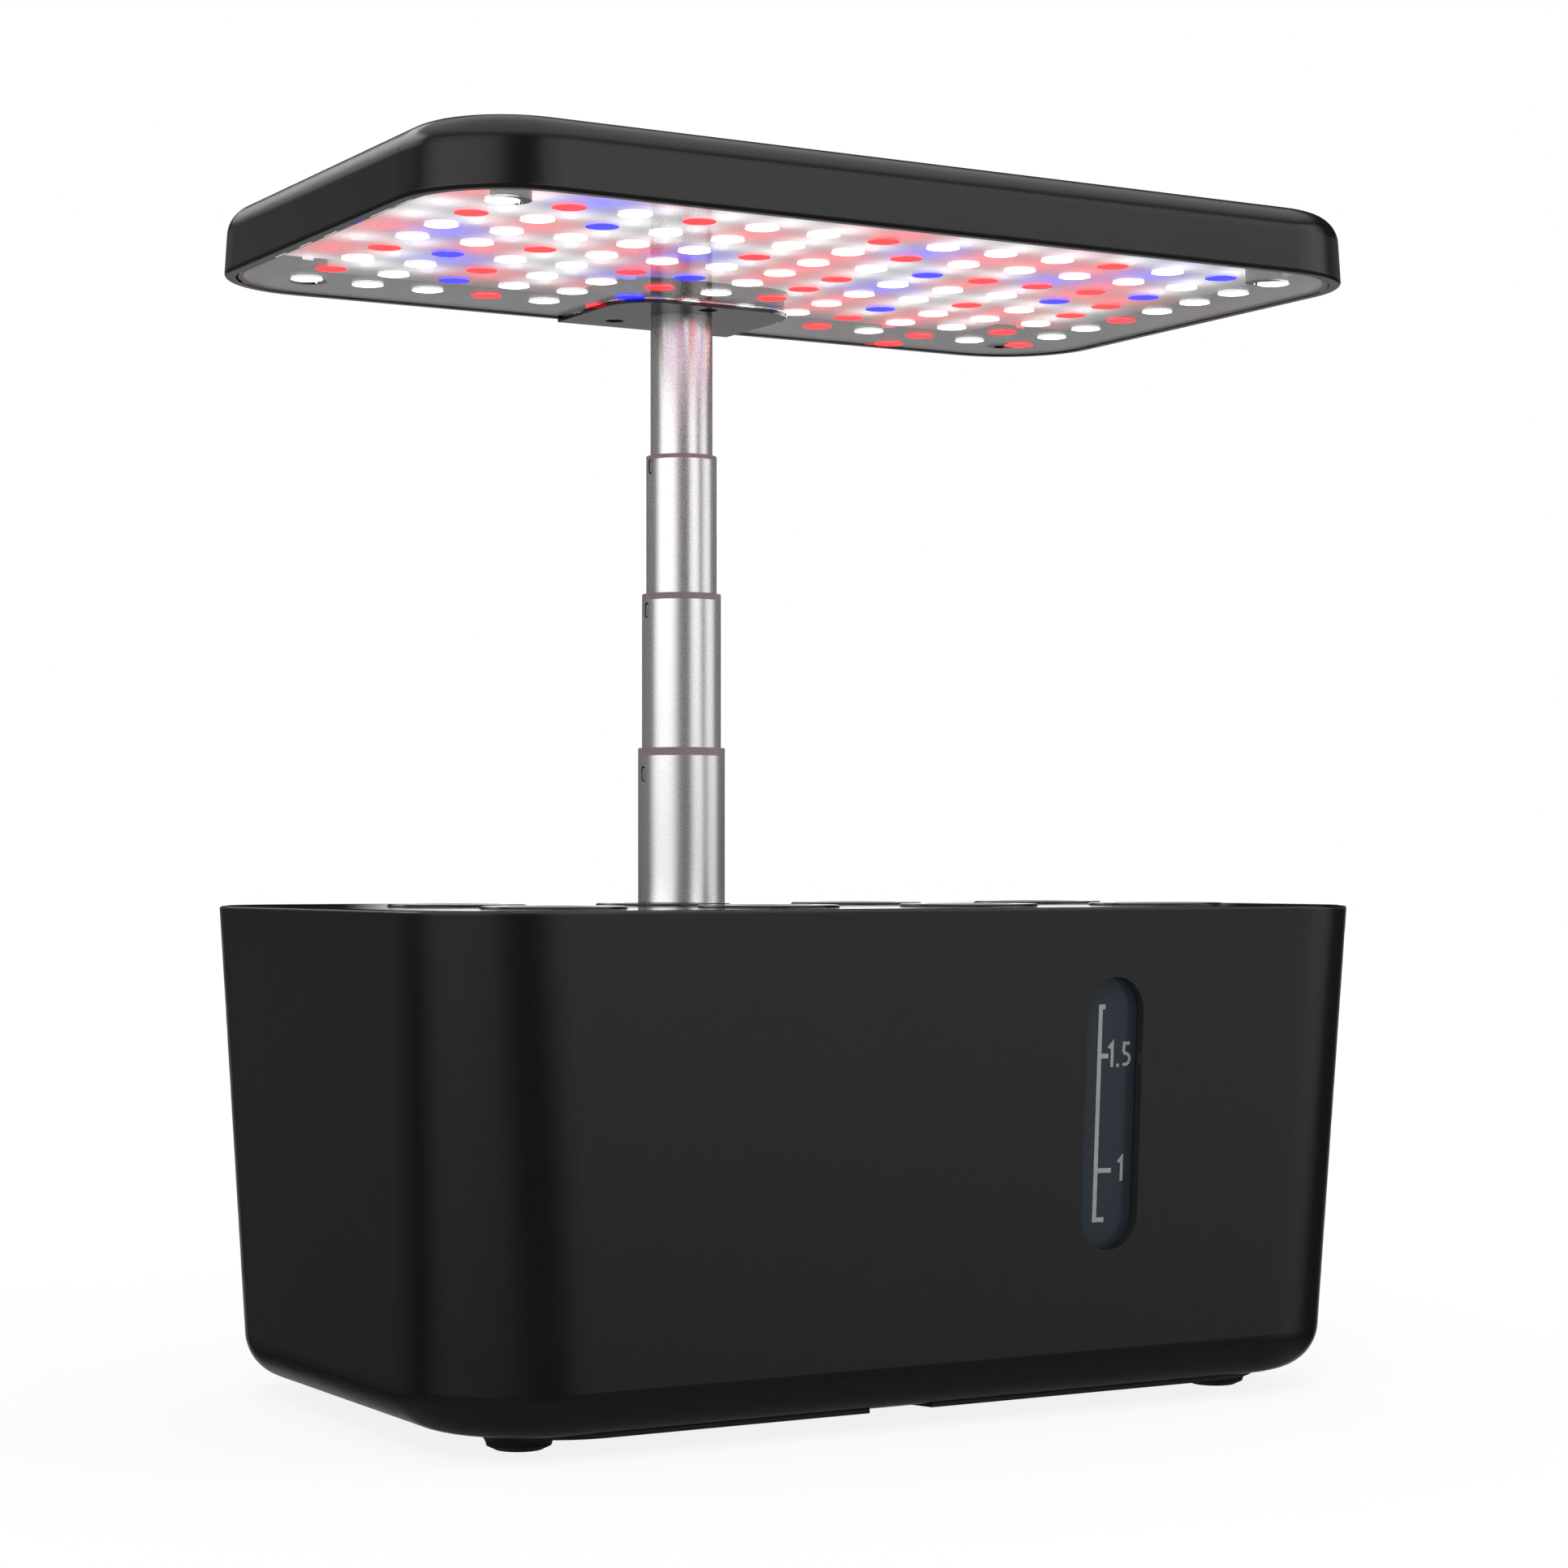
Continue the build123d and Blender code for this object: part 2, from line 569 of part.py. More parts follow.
def upward_screw(x, y, head_z, radius, head_radius, head_height, length):
    """A pan-head screw driven upwards, with a cross recess in its head."""
    with Locations((x, y, head_z)):
        Cylinder(head_radius, head_height, align=CENTRE_LOW)
        Cylinder(radius, head_height + length, align=CENTRE_LOW)
        for arm in ((head_radius * RECESS_SPAN, RECESS_WIDTH),
                    (RECESS_WIDTH, head_radius * RECESS_SPAN)):
            Box(*arm, RECESS_DEPTH, align=CENTRE_LOW, mode=Mode.SUBTRACT)


SOCKET_SCREW_Z = DECK_BOTTOM_Z - SOCKET_FLANGE_THICKNESS - SCREW_HEAD_HEIGHT

with BuildPart() as tank_screws:
    for screw_x, screw_y in PLATE_SCREW_PLACES:
        upward_screw(screw_x, screw_y, PLATE_Z, SCREW_RADIUS, SCREW_HEAD_RADIUS,
                     SCREW_HEAD_HEIGHT, SCREW_LENGTH - SCREW_HEAD_HEIGHT)
    for screw_x, screw_y in SOCKET_SCREW_PLACES:
        upward_screw(screw_x, screw_y, SOCKET_SCREW_Z, SCREW_RADIUS, SCREW_HEAD_RADIUS,
                     SCREW_HEAD_HEIGHT, SCREW_LENGTH - SCREW_HEAD_HEIGHT)
save(tank_screws, "tank_screws")

# ---------------------------------------------------------------------------------------------
# Planting deck and its filler flap
# ---------------------------------------------------------------------------------------------

FLAP_LEFT_X = FLAP_X - FLAP_LENGTH / 2
FLAP_DEPTH_Y = FLAP_AXIS_Y - FLAP_FRONT_Y
WELL_BACK_Y = FLAP_AXIS_Y + KNUCKLE_RADIUS + FLAP_GAP
STRIP_FRONT_Y = FLAP_AXIS_Y - KNUCKLE_RADIUS - STRIP_CLEARANCE
DECK_PILOT_DEPTH = SCREW_LENGTH - SCREW_HEAD_HEIGHT - SOCKET_FLANGE_THICKNESS + PIN_FIT

with BuildPart() as grow_deck:
    tank_block(DECK_BOTTOM_Z, DECK_TOP_Z, RIM_WALL + DECK_GAP)
    # skirt that locates the deck in the tank's neck
    tank_block(DECK_BOTTOM_Z - SKIRT_DEPTH, DECK_BOTTOM_Z, LEDGE_INSET + SKIRT_GAP)
    tank_block(DECK_BOTTOM_Z - SKIRT_DEPTH, DECK_BOTTOM_Z,
               LEDGE_INSET + SKIRT_GAP + SKIRT_WALL, mode=Mode.SUBTRACT)
    # pod seats
    with Locations(*[(x, y, DECK_TOP_Z) for x, y in POD_PLACES]):
        CounterBoreHole(POD_HOLE_RADIUS, CAP_RADIUS + CAP_GAP, CAP_SEAT_DEPTH, DECK_THICKNESS)
        CounterBoreHole(POD_HOLE_RADIUS, FLANGE_RADIUS + CAP_GAP,
                        CAP_SEAT_DEPTH + FLANGE_THICKNESS, DECK_THICKNESS)
    # pole hole and pilot holes for the socket's screws
    with Locations((0, POLE_Y, DECK_TOP_Z)):
        Hole(TUBE_RADII[0] + SOCKET_GAP, DECK_THICKNESS)
    with Locations(*[(x, y, DECK_BOTTOM_Z) for x, y in SOCKET_SCREW_PLACES]):
        Cylinder(SCREW_RADIUS + PILOT_GAP, DECK_PILOT_DEPTH, align=CENTRE_LOW,
                 mode=Mode.SUBTRACT)
    # flap seat, filler opening and the clear strip for the knuckle
    with BuildSketch(Plane.XY.offset(DECK_TOP_Z)):
        with Locations((FLAP_X, FLAP_FRONT_Y - FLAP_GAP)):
            Rectangle(FLAP_LENGTH + 2 * FLAP_GAP, WELL_BACK_Y - FLAP_FRONT_Y + FLAP_GAP,
                      align=(Align.CENTER, Align.MIN))
        with Locations((FLAP_X, FLAP_FRONT_Y)):
            Circle(FINGER_RADIUS)
    extrude(amount=-FLAP_THICKNESS, mode=Mode.SUBTRACT)
    with BuildSketch(Plane.XY.offset(DECK_TOP_Z)):
        with Locations((FLAP_X, FLAP_FRONT_Y + FLAP_LEDGE)):
            Rectangle(FLAP_LENGTH - 2 * FLAP_LEDGE, WELL_BACK_Y - FLAP_FRONT_Y - FLAP_LEDGE,
                      align=(Align.CENTER, Align.MIN))
        with Locations((FLAP_X, STRIP_FRONT_Y)):
            Rectangle(FLAP_LENGTH + 2 * FLAP_GAP, WELL_BACK_Y - STRIP_FRONT_Y,
                      align=(Align.CENTER, Align.MIN))
    extrude(amount=-DECK_THICKNESS, mode=Mode.SUBTRACT)
    with BuildSketch(Plane.YZ.offset(FLAP_LEFT_X - FLAP_GAP - HINGE_PIN_END)):
        with Locations((FLAP_AXIS_Y, FLAP_AXIS_Z)):
            Circle(HINGE_PIN_RADIUS + PIN_FIT)
    extrude(amount=FLAP_LENGTH + 2 * (FLAP_GAP + HINGE_PIN_END), mode=Mode.SUBTRACT)
save(grow_deck, "grow_deck")

with BuildPart() as flap_hinge_pin:
    with BuildSketch(Plane.YZ.offset(FLAP_LEFT_X - FLAP_GAP - HINGE_PIN_END)):
        with Locations((FLAP_AXIS_Y, FLAP_AXIS_Z)):
            Circle(HINGE_PIN_RADIUS)
    extrude(amount=FLAP_LENGTH + 2 * (FLAP_GAP + HINGE_PIN_END))
save(flap_hinge_pin, "flap_hinge_pin")

with BuildPart() as filler_flap:
    with BuildSketch(Plane.YZ.offset(FLAP_LEFT_X)):
        with Locations((FLAP_FRONT_Y, DECK_TOP_Z)):
            Rectangle(FLAP_DEPTH_Y, FLAP_THICKNESS, align=(Align.MIN, Align.MAX))
        with Locations((FLAP_AXIS_Y, FLAP_AXIS_Z)):
            Circle(KNUCKLE_RADIUS)
            Circle(HINGE_PIN_RADIUS + HINGE_CLEARANCE, mode=Mode.SUBTRACT)
    extrude(amount=FLAP_LENGTH)
    # bevel under the front edge, for a finger
    front_edges = filler_flap.edges().filter_by(Axis.X).group_by(Axis.Y)[0]
    chamfer(front_edges.sort_by(Axis.Z)[0], FLAP_BEVEL)
save(filler_flap, "filler_flap")

# ---------------------------------------------------------------------------------------------
# Pods
# ---------------------------------------------------------------------------------------------

BASKET_BODY_TOP_Z = CAP_SEAT_Z - FLANGE_THICKNESS
BASKET_HEIGHT = BASKET_BODY_TOP_Z - BASKET_BOTTOM_Z
SPONGE_TOP_Z = CAP_SEAT_Z - CAP_PLUG_DEPTH - SPONGE_GAP
SPONGE_BOTTOM_Z = BASKET_BOTTOM_Z + BASKET_WALL

for number, (pod_x, pod_y) in enumerate(POD_PLACES, start=1):
    with BuildPart() as pod_basket:
        with Locations((pod_x, pod_y, BASKET_BOTTOM_Z)):
            Cone(BASKET_BOTTOM_RADIUS, BASKET_TOP_RADIUS, BASKET_HEIGHT, align=CENTRE_LOW)
        with Locations((pod_x, pod_y, BASKET_BODY_TOP_Z)):
            Cylinder(FLANGE_RADIUS, FLANGE_THICKNESS, align=CENTRE_LOW)
        with Locations((pod_x, pod_y, SPONGE_BOTTOM_Z)):
            Cone(BASKET_BOTTOM_RADIUS - BASKET_WALL, BASKET_TOP_RADIUS - BASKET_WALL,
                 CAP_SEAT_Z - SPONGE_BOTTOM_Z, align=CENTRE_LOW, mode=Mode.SUBTRACT)
        with Locations((pod_x, pod_y, SPONGE_BOTTOM_Z + BASKET_SLOT_RISE)):
            with PolarLocations(BASKET_TOP_RADIUS, BASKET_SLOTS):
                Box(BASKET_SLOT_REACH, BASKET_SLOT_WIDTH, BASKET_HEIGHT * BASKET_SLOT_SHARE,
                    align=CENTRE_LOW, mode=Mode.SUBTRACT)
        with Locations((pod_x, pod_y, BASKET_BOTTOM_Z)):
            Cylinder(BASKET_DRAIN_RADIUS, BASKET_WALL, align=CENTRE_LOW, mode=Mode.SUBTRACT)
    save(pod_basket, f"pod_basket_{number}")

    with BuildPart() as pod_sponge:
        with Locations((pod_x, pod_y, SPONGE_BOTTOM_Z)):
            Cone(BASKET_BOTTOM_RADIUS - BASKET_WALL - SPONGE_GAP,
                 BASKET_TOP_RADIUS - BASKET_WALL - SPONGE_GAP,
                 SPONGE_TOP_Z - SPONGE_BOTTOM_Z, align=CENTRE_LOW)
        with Locations((pod_x, pod_y, SPONGE_TOP_Z)):
            Hole(SEED_HOLE_RADIUS, SEED_HOLE_DEPTH)
    save(pod_sponge, f"pod_sponge_{number}")

    with BuildPart() as pod_cap:
        with Locations((pod_x, pod_y, CAP_SEAT_Z)):
            Cylinder(CAP_RADIUS, CAP_THICKNESS, align=CENTRE_LOW)
        fillet(pod_cap.faces().sort_by(Axis.Z)[-1].edges(), CAP_EDGE)
        with BuildSketch(Plane.XY.offset(CAP_SEAT_Z + CAP_THICKNESS)):
            with Locations((pod_x, pod_y)):
                Circle(CAP_DISH_RADIUS)
                Rectangle(2 * CAP_DISH_RADIUS, CAP_GRIP_WIDTH, mode=Mode.SUBTRACT)
        extrude(amount=-CAP_DISH_DEPTH, mode=Mode.SUBTRACT)
        with Locations((pod_x, pod_y, CAP_SEAT_Z - CAP_PLUG_DEPTH)):
            Cylinder(CAP_PLUG_RADIUS, CAP_PLUG_DEPTH, align=CENTRE_LOW)
    save(pod_cap, f"pod_cap_{number}")

# ---------------------------------------------------------------------------------------------
# Telescoping pole
# ---------------------------------------------------------------------------------------------

TUBE_TOPS = [low for low, high in RING_SPANS] + [BRACKET_COLLAR_TOP_Z]
TUBE_BOTTOMS = [SOCKET_BOTTOM_Z + SOCKET_FLOOR] + [
    high - TUBE_OVERLAP for low, high in RING_SPANS
]


def tab_slot(index, radius_from, depth, shrink, mode=Mode.ADD):
    """The oval of a bush's snap tab on the tube's left side, shrunk by shrink all round."""
    side = Plane(origin=(-radius_from, POLE_Y, TAB_HOLE_Z[index]), x_dir=(0, -1, 0),
                 z_dir=(-1, 0, 0))
    with BuildSketch(side) as oval:
        SlotOverall(TAB_HOLE_HEIGHT - 2 * shrink, TAB_HOLE_WIDTH - 2 * shrink, rotation=90)
    extrude(oval.sketch, amount=depth, mode=mode)


for stage in range(4):
    outer = TUBE_RADII[stage]
    inner = outer - TUBE_WALL
    low_z = TUBE_BOTTOMS[stage]
    top_z = TUBE_TOPS[stage]
    with BuildPart() as tube:
        with BuildSketch(upright_plane(0, POLE_Y)):
            with BuildLine():
                if stage == 0:
                    flare = outer
                else:
                    # swaged end that stops the tube from being pulled out
                    flare = TUBE_RADII[stage - 1] - TUBE_WALL - FLARE_CLEARANCE
                Polyline(
                    (inner, low_z + FLARE_HEIGHT + FLARE_NECK),
                    (inner, top_z),
                    (outer, top_z),
                    (outer, low_z + FLARE_HEIGHT),
                    (flare, low_z + FLARE_HEIGHT - FLARE_TAPER),
                    (flare, low_z),
                    (flare - TUBE_WALL, low_z),
                    (flare - TUBE_WALL, low_z + FLARE_HEIGHT - FLARE_INNER_TAPER),
                    close=True,
                )
            make_face()
        revolve(axis=Axis((0, POLE_Y, 0), (0, 0, 1)))
        if stage < 3:
            tab_slot(stage, inner - TAB_CUT_MARGIN, TUBE_WALL + 2 * TAB_CUT_MARGIN, 0,
                     mode=Mode.SUBTRACT)
    save(tube, f"tube_{stage + 1}")

for stage, (ring_low, ring_high) in enumerate(RING_SPANS):
    outer = TUBE_RADII[stage]
    bore = TUBE_RADII[stage + 1] + BUSH_CLEARANCE
    sleeve = outer - TUBE_WALL
    # the sleeve ends just above the next tube's swaged end
    sleeve_z = TUBE_BOTTOMS[stage + 1] + FLARE_HEIGHT + SLEEVE_END_GAP
    with BuildPart() as guide_bush:
        with BuildSketch(upright_plane(0, POLE_Y)):
            with BuildLine():
                Polyline(
                    (bore, sleeve_z),
                    (bore, ring_high),
                    (outer, ring_high),
                    (outer, ring_low),
                    (sleeve, ring_low),
                    (sleeve, sleeve_z),
                    close=True,
                )
            make_face()
        revolve(axis=Axis((0, POLE_Y, 0), (0, 0, 1)))
        tab_slot(stage, sleeve - TAB_ROOT, TUBE_WALL + TAB_ROOT - TAB_RECESS, TAB_GAP)
    save(guide_bush, f"guide_bush_{stage + 1}")

with BuildPart() as pole_socket:
    with Locations((0, POLE_Y, DECK_BOTTOM_Z - SOCKET_FLANGE_THICKNESS)):
        Cylinder(SOCKET_FLANGE_RADIUS, SOCKET_FLANGE_THICKNESS, align=CENTRE_LOW)
    with Locations((0, SOCKET_FLAT_Y, DECK_BOTTOM_Z - SOCKET_FLANGE_THICKNESS)):
        Box(2 * SOCKET_FLANGE_RADIUS, SOCKET_FLANGE_RADIUS, SOCKET_FLANGE_THICKNESS,
            align=(Align.CENTER, Align.MIN, Align.MIN), mode=Mode.SUBTRACT)
    with Locations((0, POLE_Y, SOCKET_BOTTOM_Z)):
        Cylinder(SOCKET_RADIUS, DECK_BOTTOM_Z - SOCKET_BOTTOM_Z, align=CENTRE_LOW)
        Cylinder(WIRE_HOLE_RADIUS, SOCKET_FLOOR, align=CENTRE_LOW, mode=Mode.SUBTRACT)
    with Locations((0, POLE_Y, SOCKET_BOTTOM_Z + SOCKET_FLOOR)):
        Cylinder(TUBE_RADII[0] + SOCKET_GAP, DECK_BOTTOM_Z - SOCKET_BOTTOM_Z - SOCKET_FLOOR,
                 align=CENTRE_LOW, mode=Mode.SUBTRACT)
    with Locations(*[(x, y, SOCKET_SCREW_Z) for x, y in SOCKET_SCREW_PLACES]):
        Cylinder(SCREW_RADIUS + PILOT_GAP, SCREW_LENGTH, align=CENTRE_LOW,
                 mode=Mode.SUBTRACT)
save(pole_socket, "pole_socket")

# ---------------------------------------------------------------------------------------------
# Circulation pump: its shaft lies along X, and the cover with the strainer is on the right
# ---------------------------------------------------------------------------------------------

pump_end = Plane(origin=(PUMP_FACE_X, PUMP_Y, PUMP_AXIS_Z), x_dir=(0, 1, 0), z_dir=(1, 0, 0))
OUTLET_X = PUMP_FACE_X - CHAMBER_DEPTH / 2
PUMP_TOP_Z = PUMP_FLOOR_Z + PUMP_HEIGHT

with BuildPart() as pump_housing:
    with BuildSketch(pump_end):
        RectangleRounded(PUMP_WIDTH, PUMP_HEIGHT, PUMP_EDGE)
    extrude(amount=-PUMP_LENGTH)
    with Locations((PUMP_X, PUMP_Y, FLOOR_Z)):
        with GridLocations(2 * PUMP_FOOT_X, 2 * PUMP_FOOT_Y, 2, 2):
            Cylinder(PUMP_FOOT_RADIUS, PUMP_FEET + PUMP_FOOT_RADIUS, align=CENTRE_LOW)
    with Locations((OUTLET_X, PUMP_Y, PUMP_TOP_Z - OUTLET_RADIUS)):
        Cylinder(NOZZLE_RADIUS, NOZZLE_HEIGHT + OUTLET_RADIUS, align=CENTRE_LOW)
    with Locations((OUTLET_X, PUMP_Y, PUMP_AXIS_Z)):
        Cylinder(OUTLET_RADIUS, PUMP_HEIGHT / 2 + NOZZLE_HEIGHT, align=CENTRE_LOW,
                 mode=Mode.SUBTRACT)
    with BuildSketch(pump_end):
        Circle(CHAMBER_RADIUS)
    extrude(amount=-CHAMBER_DEPTH, mode=Mode.SUBTRACT)
    with BuildSketch(pump_end):
        Circle(ROTOR_WELL_RADIUS)
    extrude(amount=-CHAMBER_DEPTH - ROTOR_WELL_DEPTH, mode=Mode.SUBTRACT)
    with BuildSketch(pump_end):
        Circle(PUMP_SHAFT_RADIUS + PIN_FIT)
    extrude(amount=SHAFT_SEAT_HOUSING - PUMP_LENGTH, mode=Mode.SUBTRACT)
save(pump_housing, "pump_housing")

with BuildPart() as pump_cover:
    with BuildSketch(pump_end):
        RectangleRounded(PUMP_WIDTH, PUMP_HEIGHT, PUMP_EDGE)
    extrude(amount=PUMP_COVER_LENGTH)
    # strainer: an open box in front of the inlet, closed by a slotted face
    with BuildSketch(pump_end.offset(STRAINER_BACK)):
        RectangleRounded(PUMP_WIDTH - 2 * STRAINER_RIM, PUMP_HEIGHT - 2 * STRAINER_RIM,
                         PUMP_EDGE / 2)
    extrude(amount=PUMP_COVER_LENGTH - STRAINER_BACK - STRAINER_FACE, mode=Mode.SUBTRACT)
    with BuildSketch(pump_end):
        Circle(INLET_RADIUS)
        Rectangle(2 * INLET_RADIUS, SHAFT_BAR, mode=Mode.SUBTRACT)
    extrude(amount=STRAINER_BACK, mode=Mode.SUBTRACT)
    with BuildSketch(pump_end.offset(PUMP_COVER_LENGTH)):
        with GridLocations(STRAINER_PITCH, 0, STRAINER_SLOTS, 1):
            SlotOverall(STRAINER_SLOT_HEIGHT, STRAINER_SLOT_WIDTH, rotation=90)
    extrude(amount=-STRAINER_FACE, mode=Mode.SUBTRACT)
    with BuildSketch(pump_end):
        Circle(PUMP_SHAFT_RADIUS + PIN_FIT)
    extrude(amount=SHAFT_SEAT_COVER, mode=Mode.SUBTRACT)
save(pump_cover, "pump_cover")

with BuildPart() as pump_shaft:
    with BuildSketch(pump_end.offset(SHAFT_SEAT_COVER)):
        Circle(PUMP_SHAFT_RADIUS)
    extrude(amount=SHAFT_SEAT_HOUSING - PUMP_LENGTH - SHAFT_SEAT_COVER)
save(pump_shaft, "pump_shaft")

with BuildPart() as pump_impeller:
    disc_face = -CHAMBER_DEPTH + ROTOR_END_GAP + VANE_DISC_THICKNESS
    with BuildSketch(pump_end.offset(disc_face)):
        Circle(VANE_DISC_RADIUS)
    extrude(amount=-VANE_DISC_THICKNESS)
    with BuildSketch(pump_end.offset(disc_face - VANE_DISC_THICKNESS)):
        Circle(ROTOR_RADIUS)
    extrude(amount=-ROTOR_LENGTH)
    with BuildSketch(pump_end.offset(disc_face)):
        with PolarLocations(VANE_MIDDLE, VANES):
            Rectangle(VANE_LENGTH, VANE_WIDTH)
        Circle(VANE_HUB_RADIUS)
    extrude(amount=VANE_HEIGHT)
    with BuildSketch(pump_end):
        Circle(PUMP_SHAFT_RADIUS + PUMP_SHAFT_CLEARANCE)
    extrude(amount=-PUMP_LENGTH, mode=Mode.SUBTRACT)
save(pump_impeller, "pump_impeller")

# riser pipe: up from the nozzle, then a bend to the right that aerates the water
with BuildPart() as pump_riser:
    with BuildLine():
        riser_line = Polyline(
            (OUTLET_X, PUMP_Y, PUMP_TOP_Z),
            (OUTLET_X, PUMP_Y, RISER_TOP_Z),
            (OUTLET_X + RISER_BEND + RISER_SPOUT, PUMP_Y, RISER_TOP_Z),
        )
        riser_path = fillet(riser_line.vertices().sort_by_distance(
            (OUTLET_X, PUMP_Y, RISER_TOP_Z))[0], RISER_BEND)
    with BuildSketch(Plane(origin=(OUTLET_X, PUMP_Y, PUMP_TOP_Z))):
        Circle(RISER_RADIUS)
        Circle(NOZZLE_RADIUS + THROUGH_GAP, mode=Mode.SUBTRACT)
    sweep()
save(pump_riser, "pump_riser")

# ---------------------------------------------------------------------------------------------
# Lamp
# ---------------------------------------------------------------------------------------------


def lamp_block(low_z, high_z, inset, mode=Mode.ADD):
    """A block that follows the lamp's drafted sides, moved in by inset, between two heights."""
    sections = []
    for z in (low_z, high_z):
        moved = LAMP_DRAFT * (z - LAMP_Z) / (LAMP_TOP_Z - LAMP_Z) + inset
        with BuildSketch(Plane.XY.offset(z)) as outline:
            RectangleRounded(LAMP_LENGTH - 2 * moved, LAMP_WIDTH - 2 * moved,
                             LAMP_RADIUS - moved)
        sections.append(outline.sketch)
    loft(sections, ruled=True, mode=mode)


def bracket_outline(margin, mode=Mode.ADD):
    """The bracket's outline, open to the lamp's rear edge, widened by margin."""
    half = BRACKET_HALF_WIDTH + margin
    front = BRACKET_FRONT_Y - margin
    rear = LAMP_WIDTH / 2
    radius = BRACKET_RADIUS + margin
    with BuildLine() as outline:
        Line((-half, rear), (-half, front + radius))
        RadiusArc((-half, front + radius), (-half + radius, front), -radius)
        Line((-half + radius, front), (half - radius, front))
        RadiusArc((half - radius, front), (half, front + radius), -radius)
        Line((half, front + radius), (half, rear))
        Line((half, rear), (-half, rear))
    make_face(outline.edges(), mode=mode)


with BuildPart() as lamp_cavity:
    lamp_block(LAMP_Z, COVER_TOP_Z, LAMP_LIP)
    lamp_block(COVER_TOP_Z, COVER_TOP_Z + COVER_LEDGE_HEIGHT, COVER_LEDGE_INSET)
    lamp_block(COVER_TOP_Z + COVER_LEDGE_HEIGHT, LAMP_CEILING_Z, LAMP_WALL)
    fillet(lamp_cavity.faces().sort_by(Axis.Z)[-1].edges(), LAMP_FILLET - LAMP_WALL)

with BuildPart() as lamp_body:
    lamp_block(LAMP_Z, LAMP_TOP_Z, 0)
    fillet(lamp_body.faces().sort_by(Axis.Z)[-1].edges(), LAMP_FILLET)
    fillet(lamp_body.faces().sort_by(Axis.Z)[0].edges(), LAMP_EDGE)

# wall that hangs from the ceiling round the bracket, as far as the lamp's outer side
with BuildPart() as bracket_wall:
    with BuildSketch(Plane.XY.offset(BRACKET_TOP_Z)):
        bracket_outline(-BRACKET_WALL_INSET)
        bracket_outline(-BRACKET_WALL_INSET - BRACKET_WALL, mode=Mode.SUBTRACT)
    extrude(amount=LAMP_CEILING_Z - BRACKET_TOP_Z + CEILING_ROOT)
    add(lamp_body.part, mode=Mode.INTERSECT)

with BuildPart() as lamp_shell:
    add(lamp_body.part)
    add(lamp_cavity.part, mode=Mode.SUBTRACT)
    # the bracket plate lies in a break in the lip
    with BuildSketch(Plane.XY.offset(LAMP_Z)):
        bracket_outline(BRACKET_SEAT_GAP)
    extrude(amount=BRACKET_TOP_Z - LAMP_Z, mode=Mode.SUBTRACT)
    add(bracket_wall.part)
    # posts for the cover, bosses for the bracket and stand-offs for the control board
    with Locations(*[(x, y, COVER_TOP_Z) for x, y in POST_PLACES]):
        Cylinder(POST_RADIUS, LAMP_CEILING_Z - COVER_TOP_Z + CEILING_ROOT,
                 align=CENTRE_LOW)
        Cylinder(LAMP_SCREW_RADIUS + PILOT_GAP, LAMP_SCREW_LENGTH, align=CENTRE_LOW,
                 mode=Mode.SUBTRACT)
    with Locations(*[(x, y, BRACKET_TOP_Z) for x, y in BRACKET_SCREWS]):
        Cylinder(BRACKET_BOSS_RADIUS, LAMP_CEILING_Z - BRACKET_TOP_Z + CEILING_ROOT,
                 align=CENTRE_LOW)
        Cylinder(LAMP_SCREW_RADIUS + PILOT_GAP, LAMP_SCREW_LENGTH, align=CENTRE_LOW,
                 mode=Mode.SUBTRACT)
    with Locations(*[(x, BUTTON_Y, CONTROL_Z + CONTROL_THICKNESS)
                     for x in (-STANDOFF_X, STANDOFF_X)]):
        Cylinder(STANDOFF_RADIUS,
                 LAMP_CEILING_Z - CONTROL_Z - CONTROL_THICKNESS + CEILING_ROOT,
                 align=CENTRE_LOW)
    # sunk panel with the button holes
    with BuildSketch(Plane.XY.offset(LAMP_TOP_Z)):
        with Locations((0, BUTTON_Y)):
            RectangleRounded(PANEL_LENGTH, PANEL_WIDTH, PANEL_RADIUS)
    extrude(amount=-PANEL_DEPTH, mode=Mode.SUBTRACT)
    with Locations(*[(x, y, LAMP_TOP_Z) for x, y in BUTTON_PLACES]):
        Hole(BUTTON_RADIUS + BUTTON_GAP, LAMP_WALL + CEILING_ROOT)
    # hole for the DC inlet in the rear wall
    with BuildSketch(Plane.XZ.offset(-LAMP_WIDTH / 2)):
        with Locations((INLET_X, INLET_Z)):
            Circle(INLET_BARREL_RADIUS + INLET_HOLE_GAP)
    extrude(amount=LAMP_WIDTH / 2 - INLET_FACE_Y + INLET_BARREL_LENGTH + INLET_HOLE_GAP,
            mode=Mode.SUBTRACT)
save(lamp_shell, "lamp_shell")

lens_places = {"red": [], "blue": [], "white": []}
for row, (reds, blues) in enumerate(zip(RED_COLUMNS, BLUE_COLUMNS)):
    for column in range(LAMP_COLUMNS):
        place = (LAMP_PITCH_X * (column - (LAMP_COLUMNS - 1) / 2),
                 FIRST_ROW_Y + LAMP_PITCH_Y * row)
        if column in reds:
            lens_places["red"].append(place)
        elif column in blues:
            lens_places["blue"].append(place)
        elif row < LAMP_ROWS:
            lens_places["white"].append(place)
ALL_LENSES = sum(lens_places.values(), [])

